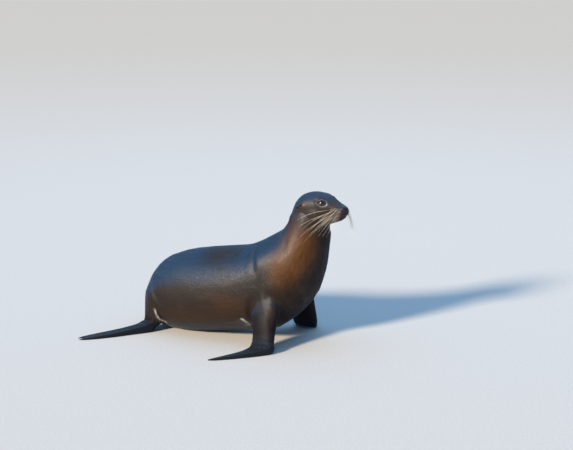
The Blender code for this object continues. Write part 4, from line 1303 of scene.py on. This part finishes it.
def buildNail(word, side, number, share):
    s = hindLimb.at(nails["place"])
    across, outward, onward = s.across[0], s.outward[0], s.onward[0]
    up = outward if outward[2] > 0 else -outward
    root = s.middle[0] + across * s.halfWidth[0] * (1 - 2 * share) + up * s.halfThick[0] * 0.72
    t = np.linspace(0, 1, 14)
    end = np.sqrt(np.maximum(1 - t**8, 0.03))
    wide, deep = (nails["width"] * k * end for k in (0.9 - 0.62 * t**1.5, 0.62 - 0.38 * t))
    rise = nails["arch"] * (4 * t * (1 - t)) ** 0.7
    middle = root + onward * nails["length"] * (t - 0.35)[:, None] + up * rise[:, None]
    ridge = 1 + nails["ridge"] * np.maximum(circle(16)[1], 0) ** 3
    points, faces = sweep(middle, across, wide, up, deep[:, None] * ridge, 16)
    points = points * (1, -side, 1) + (body["middle"], 0, 0)
    nail = addPiece(f"nail_{word}_{number}", meshOf("nail", points, faces))
    editMesh(nail.data, turnOutward)
    nail.data.shade_smooth()
    finishPiece(nail, nailMaterial, "nail", f"hind_nail_{word}_{number}")


# tufts and whiskers, by Geometry Nodes
class Grower(Tree):
    # a Geometry Nodes tree, its named inputs and what it makes
    def __init__(self, name, inputs):
        self.group = bpy.data.node_groups.new(name, "GeometryNodeTree")
        self.nodes, self.links = self.group.nodes, self.group.links
        self.group.interface.new_socket("Geometry", in_out="OUTPUT", socket_type="NodeSocketGeometry")
        self.keys = {}
        for label, kind in {"Geometry": "Geometry", **inputs}.items():
            socket = self.group.interface.new_socket(label, in_out="INPUT", socket_type="NodeSocket" + kind)
            self.keys[label] = socket.identifier
        start = self.nodes.new("NodeGroupInput")
        self.given = {label: Socket(self, start.outputs[label]) for label in self.keys}

    def attribute(self, name, kind="FLOAT"):
        return self.add("GeometryNodeInputNamedAttribute", {"data_type": kind}, name, output="Attribute")

    def chance(self, low, high):
        settings = {"data_type": "FLOAT"}
        seed = self.given["Seed"]
        return self.add("FunctionNodeRandomValue", settings, None, None, low, high, output=1, Seed=seed)

    def finish(self, geometry):
        real = self.add("GeometryNodeSetMaterial", {}, Geometry=geometry, Material=self.given["Material"])
        self.links.new(real.socket, self.nodes.new("NodeGroupOutput").inputs["Geometry"])

    def apply(self, name, mesh, values):
        piece = addPiece(name, mesh)
        modifier = piece.modifiers.new("grow", "NODES")
        modifier.node_group = self.group
        for label, value in values.items():
            modifier[self.keys[label]] = value
        plainMesh(piece)
        return piece


def tuftShape():
    # a thin leaf along +Y: a root, a ridge and a tip
    points = np.array(((0, -0.06, -0.10), (-0.5, 0.34, 0), (0.5, 0.34, 0), (0, 0.42, 0.15), (0, 1, 0.02)))
    size = np.array((coat["tuftWidth"], coat["tuftLength"], coat["tuftWidth"]))
    faces = [(0, 3, 1), (0, 2, 3), (0, 1, 2), (4, 1, 3), (4, 3, 2), (4, 2, 1)]
    mesh = meshOf("tuft", points * size, faces)
    store(mesh, "leaf", points[:, :2] - (0, 0.5))
    mesh.shade_smooth()
    return addPiece("tuft", mesh)


def tuftTree():
    kinds = {"Tuft": "Object", "Region": "String", "Tufts per square metre": "Float", "Lift": "Float"}
    g = Grower("tufts", {**kinds, "Own shine": "Float", "Seed": "Int", "Material": "Material"})
    size = g.attribute("tuftSize")
    density = g.attribute("tuftShare") * g.attribute(g.given["Region"]) * (1.0 / (size * size))
    density = density * g.given["Tufts per square metre"]
    scatter = {"Mesh": g.given["Geometry"], "Density": density, "Seed": g.given["Seed"]}
    points = g.add("GeometryNodeDistributePointsOnFaces", {"distribute_method": "RANDOM"}, **scatter)
    align = {"Rotation": points.output("Rotation"), "Vector": g.attribute("flow", "FLOAT_VECTOR")}
    turned = g.add("FunctionNodeAlignRotationToVector", {"axis": "Y", "pivot_axis": "Z"}, **align)
    # neighbours sway together, and each tuft strays a little
    grain = g.attribute("grain", "FLOAT_VECTOR")
    sway = g.add("ShaderNodeTexNoise", {}, Vector=grain, Scale=26.0, Detail=2.0)
    yaw = (sway - 0.5) * 0.6 + g.chance(-0.10, 0.10)
    pitch = g.chance(0.5, 1.25) * g.given["Lift"]
    euler = g.add("FunctionNodeEulerToRotation", {}, g.add("ShaderNodeCombineXYZ", {}, X=pitch, Z=yaw))
    rotation = g.add("FunctionNodeRotateRotation", {"rotation_space": "LOCAL"}, turned, euler)
    tuft = g.add("GeometryNodeObjectInfo", {}, g.given["Tuft"], output="Geometry")
    place = {"Points": points, "Instance": tuft, "Rotation": rotation, "Scale": size * g.chance(0.7, 1.3)}
    real = g.add("GeometryNodeRealizeInstances", {}, g.add("GeometryNodeInstanceOnPoints", {}, **place))
    # no tip goes into the floor
    here = g.add("ShaderNodeSeparateXYZ", {}, g.add("GeometryNodeInputPosition", {}))
    above = here.maths("MAXIMUM", here.output("Z"), 0.0004)
    raised = g.add("ShaderNodeCombineXYZ", {}, here, here.output("Y"), above)
    real = g.add("GeometryNodeSetPosition", {}, Geometry=real, Position=raised)
    # the tufts shine as one coat: their normals lean towards the skin's
    own = g.add("GeometryNodeInputNormal", {}).vector("SCALE", Scale=g.given["Own shine"])
    shine = own.vector("ADD", g.attribute("skinNormal", "FLOAT_VECTOR")).vector("NORMALIZE")
    real = g.add("GeometryNodeSetMeshNormal", {"mode": "FREE"}, Mesh=real, Custom_Normal=shine)
    # each tuft's patch of the bake, at its root's place on the skin's unwrap
    leaf = g.attribute("leaf", "FLOAT_VECTOR").vector("SCALE", Scale=0.003)
    patch = g.attribute("unwrap", "FLOAT_VECTOR").vector("ADD", leaf)
    kept = {"data_type": "FLOAT2", "domain": "CORNER"}
    g.finish(g.add("GeometryNodeStoreNamedAttribute", kept, Geometry=real, Name="OFBake", Value=patch))
    return g


# the coat's pieces behind the head, from front to back: how far each one reaches
bands = {"neck": 0.06, "shoulders": -0.07, "ribs": -0.22, "flanks": -0.38, "loins": -0.54, "rump": -9}


def growCoat(skin):
    mesh = skin.data
    points = pointsOf(mesh) - (body["middle"], 0, 0)
    head = headFrame(points)
    onHead = (head[:, 0] > -0.075) & (head[:, 2] > -0.12)
    regions = {"crown": onHead & (head[:, 0] <= 0.03), "face": onHead & (head[:, 0] > 0.03)}
    ahead, front = points[:, 0] + 0.45 * (points[:, 2] - 0.3), 9
    for name, back in bands.items():
        regions[name] = ~onHead & (ahead <= front) & (ahead > back)
        front = back
    hair = coatFinish("coat tufts", True)
    tree, tuft = tuftTree(), tuftShape()
    for number, (name, here) in enumerate(regions.items()):
        host = mesh.copy()
        store(host, "region", here.astype(float))
        values = {
            "Tuft": tuft,
            "Region": "region",
            "Tufts per square metre": coat["tuftsPerSquareMetre"],
            "Lift": math.radians(coat["tuftLift"]),
            "Own shine": coat["tuftShine"],
            "Seed": 11 + number,
            "Material": hair,
        }
        piece = tree.apply(f"coat_{name}", host, values)
        for spare in ("leaf", "unwrap", "flow", "tuftShare", "tuftSize", "region", "skinNormal"):
            if spare in piece.data.attributes:
                piece.data.attributes.remove(piece.data.attributes[spare])
        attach(piece, "root")
        print("coat on the", name, len(piece.data.polygons), "triangles")
    bpy.data.objects.remove(tuft)


def whiskerPath(surface, side, root, chance):
    # a whisker's middle line: out of its pad, back and down, drooping under its own weight
    x, z, back, down = root
    swept, spread, hanging, topRow, least = whiskers["left" if side > 0 else "right"]
    place, count = np.array(forward @ headPlace), 16
    turn = place[:3, :3]
    start = turn @ np.array((x, 0.09 * side, z)) + place[:3, 3]
    hit, normal, _, _ = surface.ray_cast(Vector(start), Vector(turn @ np.array((0, -side, 0))))
    longness = (0.40 + 0.60 * back) * (1 - 0.45 * abs(down - 0.45))
    length = mix(whiskers["shortest"], whiskers["longest"], longness**1.5) * chance.uniform(0.7, 1.1)
    length = max(length * mix(topRow, 1, min(1, 2 * down)), least)
    aside = (0.62 - 0.12 * back) * side * spread
    aim = np.array((0.02 - swept * (0.12 + back), aside, 0.5 * back - 0.8 - 0.24 * down))
    aim = unit(turn @ aim + chance.normal(0, 0.10, 3))
    middle, path = np.array(hit) - np.array(normal) * 0.002, []
    for i in range(count):
        t = i / (count - 1)
        path.append((*middle, whiskers["thick"] * (1 - 0.86 * t**1.3) * (0.65 + 0.35 * longness), t))
        droop = np.array((-0.10, 0, -1.0)) * (0.022 + 0.045 * longness) * (0.4 + t) * hanging
        aim = unit(aim + droop + turn @ np.array((-0.012, -0.006 * side, 0)))
        middle = middle + aim * length / (count - 1)
        # it slides over the cheek instead of going in
        spot, facing, _, _ = surface.find_nearest(Vector(middle))
        gap = (middle - np.array(spot)) @ np.array(facing)
        clear = min(whiskers["clearance"], 0.0015 * (i + 1))
        middle = middle + np.array(facing) * max(clear - gap, 0) * (gap > -0.03)
    return path


def growWhiskers(skin):
    bm = bmesh.new()
    bm.from_mesh(skin.data)
    surface, chance = BVHTree.FromBMesh(bm), np.random.default_rng(7)
    bm.free()
    paths = [whiskerPath(surface, side, root, chance) for side in (1, -1) for root in follicles()]
    rows, count = np.vstack(paths), len(paths[0])
    edges = [(i, i + 1) for i in range(len(rows) - 1) if (i + 1) % count]
    mesh = meshOf("whiskers", rows[:, :3], [], edges)
    store(mesh, "radius", rows[:, 3])
    store(mesh, "along", rows[:, 4])
    g = Grower("whiskers", {"Sides": "Int", "Material": "Material"})
    radius = g.attribute("radius")
    curve = g.add("GeometryNodeMeshToCurve", {}, g.given["Geometry"])
    curve = g.add("GeometryNodeSetCurveRadius", {}, Curve=curve, Radius=radius)
    profile = g.add("GeometryNodeCurvePrimitiveCircle", {}, Resolution=g.given["Sides"], Radius=1.0)
    swept = {"Curve": curve, "Profile_Curve": profile, "Scale": radius, "Fill_Caps": True}
    tubes = g.add("GeometryNodeSetShadeSmooth", {}, g.add("GeometryNodeCurveToMesh", {}, **swept))
    g.finish(g.add("GeometryNodeRealizeInstances", {}, tubes))
    piece = g.apply("whiskers", mesh, {"Sides": 6, "Material": whiskerFinish()})
    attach(piece, "root")
    print("whiskers:", len(piece.data.polygons), "faces")


# camera, floor and lights
stage = {
    "azimuth": 25.0,
    "elevation": 16.0,
    "distance": 6.923,
    "focalLength": 90.47,
    "aimRight": 4.0 / 1440,  # how far off the middle of the view the animal's fore feet are
    "aimUp": 114.0 / 1440,
    "floor": (0.56, 0.56, 0.56),
    "floorRadius": 60.0,
    "sunFrom": (-0.34, -0.94, 0.42),
    "sunPower": 7.4,
    "sunSpread": 9,  # degrees
    "sunColour": (1.0, 0.82, 0.60),
    "sky": (0.22, 0.36, 0.52),
    "skyPower": 1.05,
    "skyLight": (0.34, 0.61, 1.0),
    "skyLightPower": 360,
}


def addLight(name, kind, place, target, colour, energy, **settings):
    lamp = bpy.data.lights.new(name, kind)
    for label, value in {"energy": energy, "color": colour, **settings}.items():
        setattr(lamp, label, value)
    holder = addPiece(name, lamp)
    holder.location = place
    holder.rotation_euler = (Vector(place) - Vector(target)).to_track_quat("Z", "Y").to_euler()


def buildStage():
    def towards(azimuth, elevation):
        flat = math.cos(elevation)
        return Vector((math.sin(azimuth) * flat, -math.cos(azimuth) * flat, math.sin(elevation)))

    scene = bpy.context.scene
    a, e = math.radians(stage["azimuth"]), math.radians(stage["elevation"])
    camera = scene.camera = addPiece("camera", bpy.data.cameras.new("camera"))
    camera.location = Vector((body["middle"], 0, 0)) + towards(a, e) * stage["distance"]
    aim = towards(a - math.atan(stage["aimRight"]), e - math.atan(stage["aimUp"]))
    camera.rotation_euler = aim.to_track_quat("Z", "Y").to_euler()
    camera.data.lens, camera.data.sensor_width, camera.data.clip_end = stage["focalLength"], 36, 200
    rim = np.stack([*circle(96), np.zeros(96)], 1) * stage["floorRadius"]
    floor = addPiece("floor", meshOf("floor", rim, [list(range(len(rim)))]))
    paint = Finish("floor", Specular_IOR_Level=0.2)
    speckle = paint.noise(paint.objectPlace(), 90.0, 4.0, 0.7)
    dark, light = (tuple(c * k for c in stage["floor"]) for k in (0.94, 1.04))
    colour = paint.blend(speckle.step(0.3, 0.7), dark, light)
    floor.data.materials.append(paint.feed(Base_Color=colour, Roughness=0.85 + speckle * 0.1))
    scene.world = bpy.data.worlds.new("studio")
    scene.world.use_nodes = True
    sky = scene.world.node_tree.nodes["Background"].inputs
    sky["Color"].default_value, sky["Strength"].default_value = (*stage["sky"], 1), stage["skyPower"]
    spread = math.radians(stage["sunSpread"])
    sunPlace = Vector(stage["sunFrom"]) * 6
    addLight("sun", "SUN", sunPlace, (0, 0, 0), stage["sunColour"], stage["sunPower"], angle=spread)
    overhead = ((-0.5, 2.5, 8.0), (-0.5, 2.5, 0))
    addLight("sky", "AREA", *overhead, stage["skyLight"], stage["skyLightPower"], size=10)
    scene.view_settings.view_transform = "Standard"
    print("stage set")


skin = buildSkin()
paintMasks(skin)
skin.data.transform(forward)
skin.data.shade_smooth()
coatMaterial, nailMaterial = coatFinish("coat", False), nailFinish()
flesh = [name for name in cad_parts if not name.startswith(("eye", "ear", "hind_nail"))]
finishPiece(skin, coatMaterial, "coat", *flesh)
for word, side in (("left", 1), ("right", -1)):
    buildEye(word, side)
    buildLidEdge(word, side)
    buildEar(word, side)
    for number, (share, _, _) in enumerate(body["hindDigits"][1:4], 1):
        buildNail(word, side, number, share)
print("eyes, ears and nails set")
growCoat(skin)
growWhiskers(skin)
buildStage()
